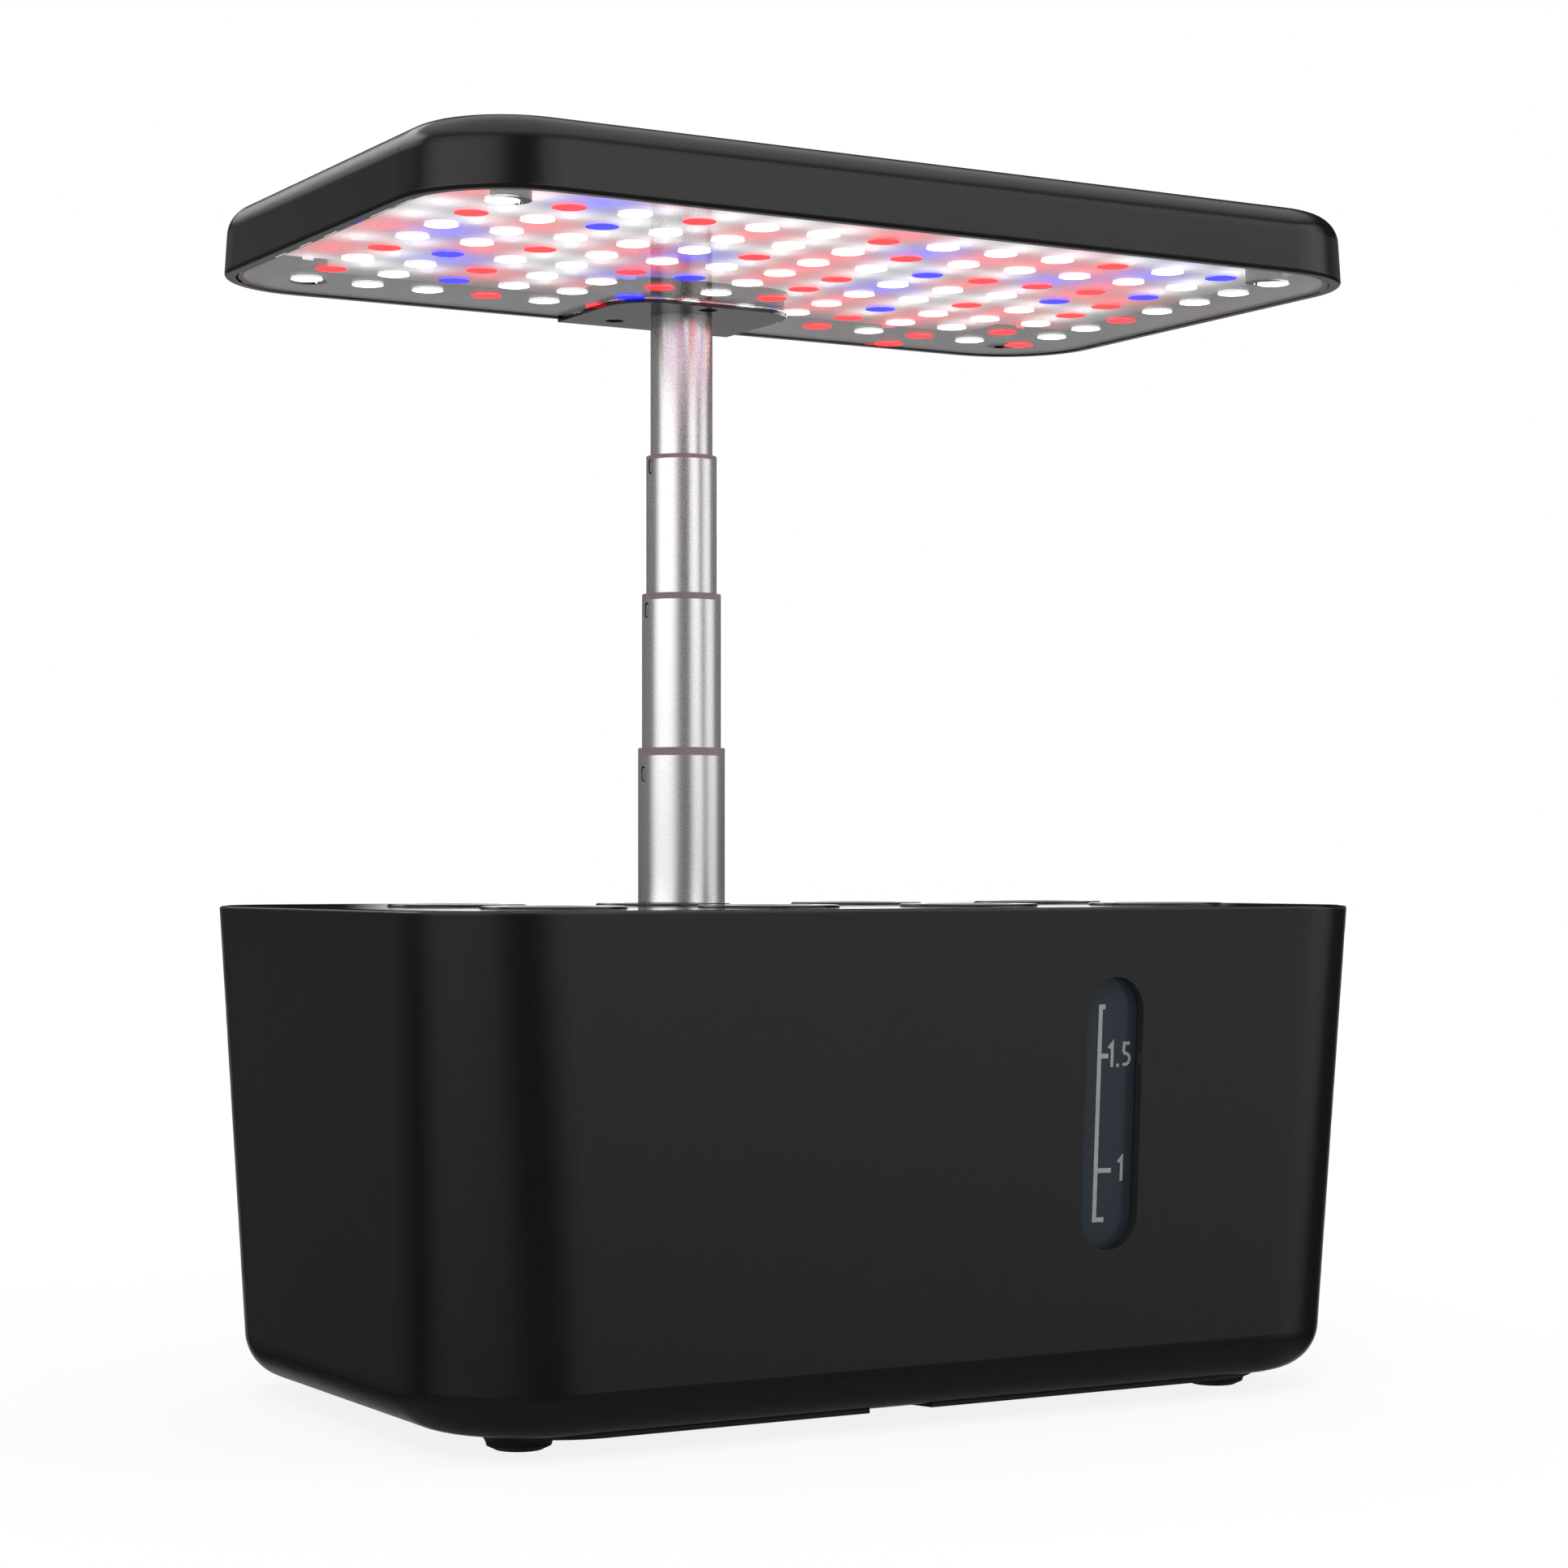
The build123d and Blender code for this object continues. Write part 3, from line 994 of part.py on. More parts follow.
with BuildPart() as lamp_cover:
    lamp_block(COVER_Z, COVER_TOP_Z, LAMP_LIP + COVER_GAP)
    with BuildSketch(Plane.XY.offset(COVER_Z)):
        bracket_outline(COVER_CUT_GAP)
    extrude(amount=COVER_THICKNESS, mode=Mode.SUBTRACT)
    with BuildSketch(Plane.XY.offset(COVER_Z)):
        with Locations(*ALL_LENSES):
            Circle(LENS_RADIUS + LENS_GAP)
    extrude(amount=LENS_THICKNESS, mode=Mode.SUBTRACT)
    with Locations(*[(x, y, COVER_Z) for x, y in POST_PLACES]):
        Cylinder(LAMP_SCREW_RADIUS + THROUGH_GAP, COVER_THICKNESS, align=CENTRE_LOW,
                 mode=Mode.SUBTRACT)
        Cylinder(COVER_BORE_RADIUS, COVER_BORE_DEPTH, align=CENTRE_LOW, mode=Mode.SUBTRACT)
save(lamp_cover, "lamp_cover")

for colour, places in lens_places.items():
    with BuildPart() as lenses:
        with BuildSketch(Plane.XY.offset(COVER_Z)):
            with Locations(*places):
                Circle(LENS_RADIUS)
            bracket_outline(COVER_CUT_GAP + LENS_GAP, mode=Mode.SUBTRACT)
        extrude(amount=LENS_THICKNESS)
    save(lenses, f"{colour}_lenses")


def board_cuts(mode=Mode.ADD):
    """What the LED board leaves free: the bracket and a square notch around each post."""
    bracket_outline(BOARD_CUT_GAP, mode=mode)
    for post_x, post_y in POST_PLACES:
        with Locations((post_x - math.copysign(BOARD_NOTCH / 2, post_x),
                        post_y - math.copysign(BOARD_NOTCH / 2, post_y))):
            Rectangle(4 * BOARD_NOTCH, 4 * BOARD_NOTCH, mode=mode,
                      align=(Align.MIN if post_x > 0 else Align.MAX,
                             Align.MIN if post_y > 0 else Align.MAX))


with BuildPart() as led_board:
    lamp_block(BOARD_Z, BOARD_Z + BOARD_THICKNESS, BOARD_INSET)
    with BuildSketch(Plane.XY.offset(BOARD_Z)):
        board_cuts()
        with Locations(*BOARD_HOLES):
            Circle(BOARD_HOLE_RADIUS)
    extrude(amount=BOARD_THICKNESS, mode=Mode.SUBTRACT)
    with BuildSketch(Plane.XY.offset(BOARD_Z)):
        with Locations(*ALL_LENSES):
            Rectangle(CHIP_LENGTH, CHIP_WIDTH)
        board_cuts(mode=Mode.SUBTRACT)
    extrude(amount=-CHIP_HEIGHT)
save(led_board, "led_board")

with BuildPart() as bracket_plate:
    with BuildSketch(Plane.XY.offset(BRACKET_Z)):
        bracket_outline(0)
    extrude(amount=BRACKET_THICKNESS)
    with Locations((0, POLE_Y, BRACKET_TOP_Z)):
        Cylinder(BRACKET_COLLAR_RADIUS, BRACKET_COLLAR_TOP_Z - BRACKET_TOP_Z, align=CENTRE_LOW)
    with Locations((0, POLE_Y, BRACKET_Z)):
        Cylinder(TUBE_RADII[3] + PILOT_GAP, BRACKET_COLLAR_TOP_Z - BRACKET_Z, align=CENTRE_LOW,
                 mode=Mode.SUBTRACT)
    with Locations(*[(x, y, BRACKET_Z) for x, y in BRACKET_SCREWS]):
        Cylinder(LAMP_SCREW_RADIUS + THROUGH_GAP, BRACKET_THICKNESS, align=CENTRE_LOW,
                 mode=Mode.SUBTRACT)
        Cylinder(BRACKET_BORE_RADIUS, BRACKET_BORE_DEPTH, align=CENTRE_LOW,
                 mode=Mode.SUBTRACT)
save(bracket_plate, "bracket_plate")

with BuildPart() as lamp_screws:
    for screw_x, screw_y in POST_PLACES:
        upward_screw(screw_x, screw_y, COVER_Z + COVER_BORE_DEPTH - LAMP_SCREW_HEAD_HEIGHT,
                     LAMP_SCREW_RADIUS, LAMP_SCREW_HEAD_RADIUS, LAMP_SCREW_HEAD_HEIGHT,
                     LAMP_SCREW_LENGTH - LAMP_SCREW_HEAD_HEIGHT)
    for screw_x, screw_y in BRACKET_SCREWS:
        upward_screw(screw_x, screw_y, BRACKET_Z + BRACKET_BORE_DEPTH - LAMP_SCREW_HEAD_HEIGHT,
                     LAMP_SCREW_RADIUS, LAMP_SCREW_HEAD_RADIUS, LAMP_SCREW_HEAD_HEIGHT,
                     LAMP_SCREW_LENGTH - LAMP_SCREW_HEAD_HEIGHT)
save(lamp_screws, "lamp_screws")

with BuildPart() as control_board:
    with Locations((0, BUTTON_Y, CONTROL_Z)):
        Box(CONTROL_LENGTH, CONTROL_WIDTH, CONTROL_THICKNESS, align=CENTRE_LOW)
    with Locations(*[(x, y, CONTROL_Z + CONTROL_THICKNESS) for x, y in BUTTON_PLACES]):
        Box(SWITCH_SIZE, SWITCH_SIZE, SWITCH_HEIGHT, align=CENTRE_LOW)
save(control_board, "control_board")

for name, (button_x, button_y) in zip(("light_button", "pump_button"), BUTTON_PLACES):
    with BuildPart() as button:
        with Locations((button_x, button_y, BUTTON_TOP_Z)):
            Cylinder(BUTTON_RADIUS, BUTTON_HEIGHT, align=CENTRE_HIGH)
        chamfer(button.faces().sort_by(Axis.Z)[-1].edges(), BUTTON_EDGE)
        with Locations((button_x, button_y, LAMP_CEILING_Z - BUTTON_FLANGE_GAP)):
            Cylinder(BUTTON_FLANGE_RADIUS, BUTTON_FLANGE_THICKNESS, align=CENTRE_HIGH)
        with Locations((button_x, button_y, BUTTON_TOP_Z - BUTTON_HEIGHT + PLUNGER_ROOT)):
            Cylinder(PLUNGER_RADIUS, PLUNGER_END - BUTTON_HEIGHT + PLUNGER_ROOT,
                     align=CENTRE_HIGH)
    save(button, name)

with BuildPart() as dc_inlet:
    body_length, body_depth, body_height = INLET_BODY
    with BuildSketch(Plane.XZ.offset(-INLET_FACE_Y)):
        with Locations((INLET_X, INLET_Z)):
            Circle(INLET_BARREL_RADIUS)
    extrude(amount=INLET_BARREL_LENGTH)
    with Locations((INLET_X, INLET_FACE_Y - INLET_BARREL_LENGTH, INLET_Z)):
        Box(body_length, body_depth, body_height, align=(Align.CENTER, Align.MAX, Align.CENTER))
    with BuildSketch(Plane.XZ.offset(-INLET_FACE_Y)):
        with Locations((INLET_X, INLET_Z)):
            Circle(INLET_BORE_RADIUS)
            Circle(INLET_PIN_RADIUS, mode=Mode.SUBTRACT)
    extrude(amount=INLET_DEPTH, mode=Mode.SUBTRACT)
save(dc_inlet, "dc_inlet")
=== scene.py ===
import json
import math

import bmesh
import bpy
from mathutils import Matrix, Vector


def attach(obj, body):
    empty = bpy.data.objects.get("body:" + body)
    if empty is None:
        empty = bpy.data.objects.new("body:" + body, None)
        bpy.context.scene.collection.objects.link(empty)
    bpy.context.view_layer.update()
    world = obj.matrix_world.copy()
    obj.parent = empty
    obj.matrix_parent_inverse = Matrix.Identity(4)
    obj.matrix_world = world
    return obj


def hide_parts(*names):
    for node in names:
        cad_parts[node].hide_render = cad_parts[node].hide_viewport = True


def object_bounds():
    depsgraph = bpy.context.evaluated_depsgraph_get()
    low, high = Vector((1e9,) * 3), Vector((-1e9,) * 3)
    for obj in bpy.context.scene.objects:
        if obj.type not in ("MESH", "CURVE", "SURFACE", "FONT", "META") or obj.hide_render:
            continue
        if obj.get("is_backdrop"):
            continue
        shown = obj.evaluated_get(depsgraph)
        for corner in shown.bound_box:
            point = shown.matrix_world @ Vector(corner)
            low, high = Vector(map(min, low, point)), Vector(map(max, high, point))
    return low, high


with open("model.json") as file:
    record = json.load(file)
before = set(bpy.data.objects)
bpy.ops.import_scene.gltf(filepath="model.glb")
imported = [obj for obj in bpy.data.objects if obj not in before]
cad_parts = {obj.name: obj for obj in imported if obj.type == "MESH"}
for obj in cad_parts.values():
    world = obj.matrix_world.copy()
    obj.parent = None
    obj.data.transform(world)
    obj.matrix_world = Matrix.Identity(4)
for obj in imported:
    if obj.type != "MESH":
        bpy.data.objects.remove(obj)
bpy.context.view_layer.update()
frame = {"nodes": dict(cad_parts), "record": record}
nodes = frame["nodes"]
scene = bpy.context.scene

# ---------------------------------------------------------------------------------------------
# Camera: level, in front of the near left corner, with the horizon below the picture's middle
# ---------------------------------------------------------------------------------------------

PICTURE = 1932.0
FOCAL_PX = 4159.9
HORIZON_PX = 1070.1
CAMERA_PLACE = (-0.5255, -0.9123, 0.16155)
CAMERA_TURN = math.radians(-29.897)
SENSOR = 36.0
CLIP = (0.02, 50.0)

camera_data = bpy.data.cameras.new("camera")
camera_data.sensor_width = SENSOR
camera_data.lens = FOCAL_PX / PICTURE * SENSOR
camera_data.shift_y = (HORIZON_PX - PICTURE / 2) / PICTURE
camera_data.clip_start, camera_data.clip_end = CLIP
camera = bpy.data.objects.new("camera", camera_data)
camera.location = CAMERA_PLACE
camera.rotation_euler = (math.pi / 2, 0.0, CAMERA_TURN)
scene.collection.objects.link(camera)
scene.camera = camera
scene.view_settings.view_transform = "Standard"

# ---------------------------------------------------------------------------------------------
# Node helpers
# ---------------------------------------------------------------------------------------------


class Graph:
    """A node tree with short calls to add and join nodes."""

    def __init__(self, tree):
        self.tree = tree
        self.tree.nodes.clear()

    def add(self, kind, inputs=None, **settings):
        node = self.tree.nodes.new(kind)
        for key, value in settings.items():
            setattr(node, key, value)
        for key, value in (inputs or {}).items():
            self.put(node, key, value)
        return node

    def put(self, node, key, value):
        """Set an input to a value, or join it to another node's output."""
        if isinstance(value, bpy.types.Node):
            value = value.outputs[0]
        if isinstance(value, bpy.types.NodeSocket):
            self.tree.links.new(value, node.inputs[key])
        else:
            node.inputs[key].default_value = value

    def math(self, operation, *values):
        node = self.add("ShaderNodeMath", operation=operation)
        for index, value in enumerate(values):
            self.put(node, index, value)
        return node.outputs[0]

    def span(self, value, low, high, to_low=0.0, to_high=1.0, smooth=True):
        """Map low..high to to_low..to_high, with soft ends."""
        kind = "SMOOTHSTEP" if smooth else "LINEAR"
        node = self.add("ShaderNodeMapRange", interpolation_type=kind)
        for key, number in (("Value", value), ("From Min", low), ("From Max", high),
                            ("To Min", to_low), ("To Max", to_high)):
            self.put(node, key, number)
        return node.outputs[0]

    def mix(self, factor, first, second):
        """A blend of two colours."""
        node = self.add("ShaderNodeMix", data_type="RGBA")
        self.put(node, 0, factor)
        for index, colour in ((6, first), (7, second)):
            self.put(node, index, (*colour, 1.0) if isinstance(colour, tuple) else colour)
        return node.outputs[2]

    def noise(self, scale, detail, stretch=(1.0, 1.0, 1.0)):
        """Noise over the object's own coordinates, in metres, drawn out along an axis."""
        place = self.add("ShaderNodeTexCoord").outputs["Object"]
        mapped = self.add("ShaderNodeMapping", {"Vector": place, "Scale": stretch})
        node = self.add("ShaderNodeTexNoise", {"Vector": mapped, "Scale": scale,
                                               "Detail": detail})
        return node.outputs[0]


LIGHTER = 1.12  # the lighter of the two tones of a moulding, over its colour
MOULDING_TONES = 260.0  # scale of the noise between them
TONE_SPAN = (0.3, 0.7)  # part of the noise's range that a tone or a gloss follows


def surface(name, colour, roughness, **sockets):
    """A material with one Principled shader; sockets are its other inputs."""
    material = bpy.data.materials.new(name)
    material.use_nodes = True
    graph = Graph(material.node_tree)
    shader = graph.add("ShaderNodeBsdfPrincipled")
    shader.inputs["Base Color"].default_value = (*colour, 1.0)
    shader.inputs["Roughness"].default_value = roughness
    for key, value in sockets.items():
        shader.inputs[key.replace("_", " ")].default_value = value
    graph.add("ShaderNodeOutputMaterial", {"Surface": shader})
    return material, graph, shader


def grain(graph, shader, scale, height, detail=3.0):
    """A fine relief, such as the texture of a mould."""
    texture = graph.noise(scale, detail)
    bump = graph.add("ShaderNodeBump", {"Height": texture, "Strength": 1.0,
                                        "Distance": height})
    graph.put(shader, "Normal", bump)


def uneven(graph, shader, roughness, spread, scale, stretch=(1.0, 1.0, 1.0)):
    """Roughness that drifts over the surface, as handling and moulding leave it."""
    texture = graph.noise(scale, 4.0, stretch)
    graph.put(shader, "Roughness",
              graph.span(texture, *TONE_SPAN, roughness - spread, roughness + spread, False))


def tones(graph, first, second, scale, detail=3.0):
    """A colour that varies between two tones."""
    return graph.mix(graph.span(graph.noise(scale, detail), *TONE_SPAN), first, second)


def mottled(graph, shader, first, second, scale, detail=3.0):
    """A base colour that varies between two tones."""
    graph.put(shader, "Base Color", tones(graph, first, second, scale, detail))


def lighter(colour):
    """The lighter tone of a moulding."""
    return tuple(LIGHTER * part for part in colour)


def moulded(name, colour, roughness, level, grain_scale, grain_height):
    """Moulded plastic: an even colour with a fine mould texture and drifting gloss."""
    material, graph, shader = surface(name, colour, roughness, Specular_IOR_Level=level)
    mottled(graph, shader, colour, lighter(colour), MOULDING_TONES)
    uneven(graph, shader, roughness, 0.02, 35.0)
    grain(graph, shader, grain_scale, grain_height)
    return material


# ---------------------------------------------------------------------------------------------
# Materials
# ---------------------------------------------------------------------------------------------

LED_COLOURS = {
    "white": (1.0, 1.0, 1.0),
    "red": (1.0, 0.0, 0.004),
    "blue": (0.0, 0.0, 1.0),
}
LED_POWER = 2.4
LED_PALE = 0.97  # the weaker of a lens's two levels, over the stronger


TANK_BLACK = (0.0065, 0.0065, 0.0067)
GAUGE_SLOT = (0.0552, 0.0125)  # the middle of the gauge's slot along X, and its reach each way
# painted light: the paler colour of the slot's right wall stands in for light from the lit pane
SLOT_WALL_PAINTED_LIGHT = (0.022, 0.022, 0.023)


def tank_plastic():
    """The tub's plastic, with painted light on the right wall of the gauge's slot, beside the
    lit pane.
    """
    material, graph, shader = surface("tank_plastic", TANK_BLACK, 0.22, Specular_IOR_Level=0.5)
    tone = tones(graph, TANK_BLACK, lighter(TANK_BLACK), MOULDING_TONES)
    place = graph.add("ShaderNodeTexCoord")
    x = graph.add("ShaderNodeSeparateXYZ", {"Vector": place.outputs["Object"]}).outputs[0]
    facing = graph.add("ShaderNodeSeparateXYZ", {"Vector": place.outputs["Normal"]}).outputs[0]
    away = graph.math("ABSOLUTE", graph.math("SUBTRACT", x, GAUGE_SLOT[0]))
    # mask of the painted light: the slot's right wall, where the surface faces -X
    wall = graph.math("MULTIPLY", graph.math("LESS_THAN", away, GAUGE_SLOT[1]),
                      graph.span(graph.math("MULTIPLY", facing, -1.0), 0.3, 0.8))
    graph.put(shader, "Base Color", graph.mix(wall, tone, SLOT_WALL_PAINTED_LIGHT))
    uneven(graph, shader, 0.22, 0.02, 35.0)
    grain(graph, shader, 2600.0, 1e-6)
    return material


def tube_metal():
    """Anodised aluminium with a satin gloss and a fine speckle."""
    material, graph, shader = surface("tube_metal", (0.9, 0.895, 0.9), 0.26, Metallic=0.85)
    mottled(graph, shader, (0.84, 0.835, 0.84), (0.96, 0.955, 0.96), 4200.0, 1.0)
    uneven(graph, shader, 0.26, 0.03, 2500.0)
    grain(graph, shader, 4200.0, 4e-6, 1.0)
    return material


# the pole's axis, and for each bush the heights between which it lies behind its tube's wall and
# the radius it fills there; its snap tab stands out further
POLE_AXIS_Y = 0.0695
BUSH_SLEEVES = ((0.15, 0.1985, 0.01375), (0.205, 0.2496, 0.01245), (0.255, 0.2957, 0.01105))
# painted shade: the near-black colour of the sleeve where it lies behind the tube's wall
TAB_GAP_PAINTED_SHADE = (0.004, 0.003, 0.003)


def bush_plastic():
    """Mauve-grey moulding, matt, with painted shade on its sleeve in the gap round the snap tab.
    """
    material, graph, shader = surface("bush_plastic", (0.30, 0.238, 0.258), 0.55,
                                      Specular_IOR_Level=0.2)
    tone = tones(graph, (0.285, 0.226, 0.245), (0.32, 0.254, 0.275), 300.0)
    place = graph.add("ShaderNodeTexCoord").outputs["Object"]
    x, y, z = graph.add("ShaderNodeSeparateXYZ", {"Vector": place}).outputs
    across = graph.math("SUBTRACT", y, POLE_AXIS_Y)
    squares = graph.math("ADD", graph.math("MULTIPLY", x, x),
                         graph.math("MULTIPLY", across, across))
    radius = graph.math("SQRT", squares)
    # mask of the painted shade: each sleeve between its heights and within its radius
    gap = 0.0
    for low, high, limit in BUSH_SLEEVES:
        between = graph.math("MULTIPLY", graph.math("GREATER_THAN", z, low),
                             graph.math("LESS_THAN", z, high))
        sleeve = graph.math("MULTIPLY", between, graph.math("LESS_THAN", radius, limit))
        gap = graph.math("MAXIMUM", gap, sleeve)
    graph.put(shader, "Base Color", graph.mix(gap, tone, TAB_GAP_PAINTED_SHADE))
    grain(graph, shader, 1800.0, 0.00001)
    return material


def cover_clear():
    """Polished clear polycarbonate."""
    material, graph, shader = surface("cover_clear", (0.97, 0.97, 0.98), 0.015,
                                      Transmission_Weight=1.0, IOR=1.5)
    uneven(graph, shader, 0.012, 0.008, 60.0)
    return material


def gauge_clear():
    """Clear pane with a smoky blue tint."""
    material, graph, shader = surface("gauge_clear", (0.028, 0.039, 0.05), 0.12,
                                      Specular_IOR_Level=0.15, Transmission_Weight=0.2)
    uneven(graph, shader, 0.12, 0.03, 90.0)
    return material


def board_white():
    """White solder mask, with the light of the lamps soldered to it painted on as a glow."""
    material, graph, shader = surface("board_white", (0.5, 0.5, 0.5), 0.45)
    glow = graph.add("ShaderNodeAttribute", attribute_name="glow")
    graph.put(shader, "Emission Color", glow.outputs["Color"])
    shader.inputs["Emission Strength"].default_value = 1.0
    grain(graph, shader, 700.0, 0.00001)
    return material


def lens_glow(name, colour):
    """A lens disc lit from behind, with a faint unevenness."""
    material, graph, shader = surface(name, (0.11, 0.11, 0.11), 0.3,
                                      Emission_Strength=LED_POWER)
    pale = tuple(LED_PALE * part for part in colour)
    texture = graph.noise(500.0, 1.0)
    graph.put(shader, "Emission Color", graph.mix(texture, pale, colour))
    return material


def brushed_steel(name, colour, roughness):
    """Steel with fine marks drawn out along Z."""
    material, graph, shader = surface(name, colour, roughness, Metallic=1.0)
    uneven(graph, shader, roughness, 0.06, 700.0, (1.0, 1.0, 0.2))
    grain(graph, shader, 1500.0, 0.000008)
    return material


def peat_sponge():
    """Dark brown grow sponge with coarse pores."""
    material, graph, shader = surface("sponge", (0.05, 0.03, 0.018), 0.95)
    mottled(graph, shader, (0.03, 0.017, 0.01), (0.11, 0.07, 0.04), 900.0, 6.0)
    grain(graph, shader, 1100.0, 0.0004, 6.0)
    return material


def riser_clear():
    """Clear flexible pipe, slightly cloudy."""
    material, graph, shader = surface("riser_clear", (0.75, 0.8, 0.82), 0.12,
                                      Transmission_Weight=0.8, IOR=1.48)
    uneven(graph, shader, 0.12, 0.03, 80.0)
    return material


def circuit_board():
    """Green solder mask, patchy over the copper."""
    material, graph, shader = surface("board_green", (0.03, 0.12, 0.05), 0.35)
    mottled(graph, shader, (0.02, 0.09, 0.035), (0.05, 0.17, 0.07), 420.0, 0.0)
    grain(graph, shader, 600.0, 0.00003)
    return material


materials = {
    "tank_plastic": tank_plastic(),
    "deck_plastic": moulded("deck_plastic", (0.006, 0.006, 0.0062), 0.06, 0.5, 2600.0, 5e-7),
    "lamp_plastic": moulded("lamp_plastic", (0.0065, 0.0065, 0.0067), 0.2, 0.5, 2600.0, 1e-6),
    "base_plastic": moulded("base_plastic", (0.007, 0.007, 0.0075), 0.5, 0.4, 1500.0, 2e-5),
    "rubber": moulded("rubber", (0.008, 0.008, 0.008), 0.7, 0.3, 900.0, 3e-5),
    "gauge_clear": gauge_clear(),
    "mark_print": moulded("mark_print", (0.27, 0.27, 0.275), 0.5, 0.3, 1500.0, 5e-6),
    "cover_clear": cover_clear(),
    "tube_metal": tube_metal(),
    "bush_plastic": bush_plastic(),
    "bracket_plastic": moulded("bracket_plastic", (0.02, 0.02, 0.02), 0.1, 0.5, 2000.0, 1e-6),
    "screw_steel": brushed_steel("screw_steel", (0.03, 0.03, 0.033), 0.4),
    "pin_steel": brushed_steel("pin_steel", (0.55, 0.55, 0.56), 0.25),
    "board_white": board_white(),
    "board_green": circuit_board(),
    "button_plastic": moulded("button_plastic", (0.012, 0.012, 0.0125), 0.5, 0.4, 1800.0, 1e-5),
    "pod_plastic": moulded("pod_plastic", (0.008, 0.008, 0.0085), 0.08, 0.5, 1800.0, 5e-7),
    "sponge": peat_sponge(),
    "pump_plastic": moulded("pump_plastic", (0.01, 0.01, 0.01), 0.45, 0.4, 1500.0, 2e-5),
    "impeller_plastic": moulded("impeller_plastic", (0.6, 0.6, 0.57), 0.4, 0.4, 1500.0, 1e-5),
    "riser_clear": riser_clear(),
    "inlet_plastic": moulded("inlet_plastic", (0.008, 0.008, 0.008), 0.5, 0.4, 1500.0, 1e-5),
}
for colour_name, colour in LED_COLOURS.items():
    materials[f"lens_{colour_name}"] = lens_glow(f"lens_{colour_name}", colour)


def dress(piece, slot_name):
    """Give a piece the material of one of the record's slots."""
    piece.data.materials.clear()
    piece.data.materials.append(materials[slot_name])


for subpart in frame["record"]["subparts"]:
    dress(nodes[subpart["node"]], subpart["material_slot"])

# ---------------------------------------------------------------------------------------------
# LED board: the CAD board with a fine grid on its faces, which carries the painted glow of its
# lamps
# ---------------------------------------------------------------------------------------------

LAMP_PITCH = (0.02038, 0.02033)
FIRST_LAMP = (-0.13247, -0.0744)
GRID_STEP = 0.0024
SAME_PLACE = 1e-6  # vertices of the board this close together are one
# the board's glow below is painted light, which stands in for the light its lamps cast on it
BOARD_DIM = 0.1  # light of the board far from any lamp
# painted light: colour that each lamp gives the board round it, and its reach, level and weight
# in the blend
GLOWS = {
    "white": ((1.0, 1.0, 1.0), 0.0062, 1.25, 1.0),
    "red": ((1.0, 0.08, 0.1), 0.008, 1.15, 2.6),
    "blue": ((0.1, 0.1, 1.0), 0.008, 1.15, 2.6),
}


def lamp_places(node_name):
    """The lattice places of the lenses in a node, from the places of its vertices."""
    found = set()
    for vertex in nodes[node_name].data.vertices:
        found.add((round((vertex.co.x - FIRST_LAMP[0]) / LAMP_PITCH[0]),
                   round((vertex.co.y - FIRST_LAMP[1]) / LAMP_PITCH[1])))
    return [(FIRST_LAMP[0] + column * LAMP_PITCH[0], FIRST_LAMP[1] + row * LAMP_PITCH[1])
            for column, row in sorted(found)]


def cut_grid(mesh, step):
    """Cut every face of a mesh along evenly spaced planes in X and Y."""
    work = bmesh.new()
    work.from_mesh(mesh)
    bmesh.ops.remove_doubles(work, verts=work.verts, dist=SAME_PLACE)
    low = [min(vertex.co[axis] for vertex in work.verts) for axis in (0, 1)]
    high = [max(vertex.co[axis] for vertex in work.verts) for axis in (0, 1)]
    for axis in (0, 1):
        normal = Vector((1.0 - axis, float(axis), 0.0))
        count = int((high[axis] - low[axis]) / step)
        for index in range(1, count + 1):
            point = normal * (low[axis] + index * step)
            geometry = work.verts[:] + work.edges[:] + work.faces[:]
            bmesh.ops.bisect_plane(work, geom=geometry, plane_co=point, plane_no=normal)
    work.to_mesh(mesh)
    work.free()


def glow_at(x, y, lamps):
    """The painted light that the board shows at a place, as a colour."""
    blend = [0.0, 0.0, 0.0]
    weight = 1e-9  # keeps the division below from failing far from every lamp
    level = BOARD_DIM
    for place_x, place_y, (colour, reach, power, pull) in lamps:
        share = math.exp(-((x - place_x) ** 2 + (y - place_y) ** 2) / (2 * reach ** 2))
        level += share * power
        weight += share * pull
        for channel in range(3):
            blend[channel] += share * pull * colour[channel]
    return [level * part / weight for part in blend]


board = bpy.data.objects.new("led_board_lit", nodes["led_board"].data.copy())
scene.collection.objects.link(board)
cut_grid(board.data, GRID_STEP)
lamps = [(x, y, look) for name, look in GLOWS.items()
         for x, y in lamp_places(f"{name}_lenses")]
# painted light: each vertex of the board gets the glow of the lamps round it
glow = board.data.color_attributes.new("glow", "FLOAT_COLOR", "POINT")
for vertex, value in zip(board.data.vertices, glow.data):
    value.color = (*glow_at(vertex.co.x, vertex.co.y, lamps), 1.0)
dress(board, "board_white")
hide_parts("led_board")
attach(board, "lamp_head")

# ---------------------------------------------------------------------------------------------
# Studio: a white floor, soft lamps and a surround of soft boxes that only reflections show
# ---------------------------------------------------------------------------------------------

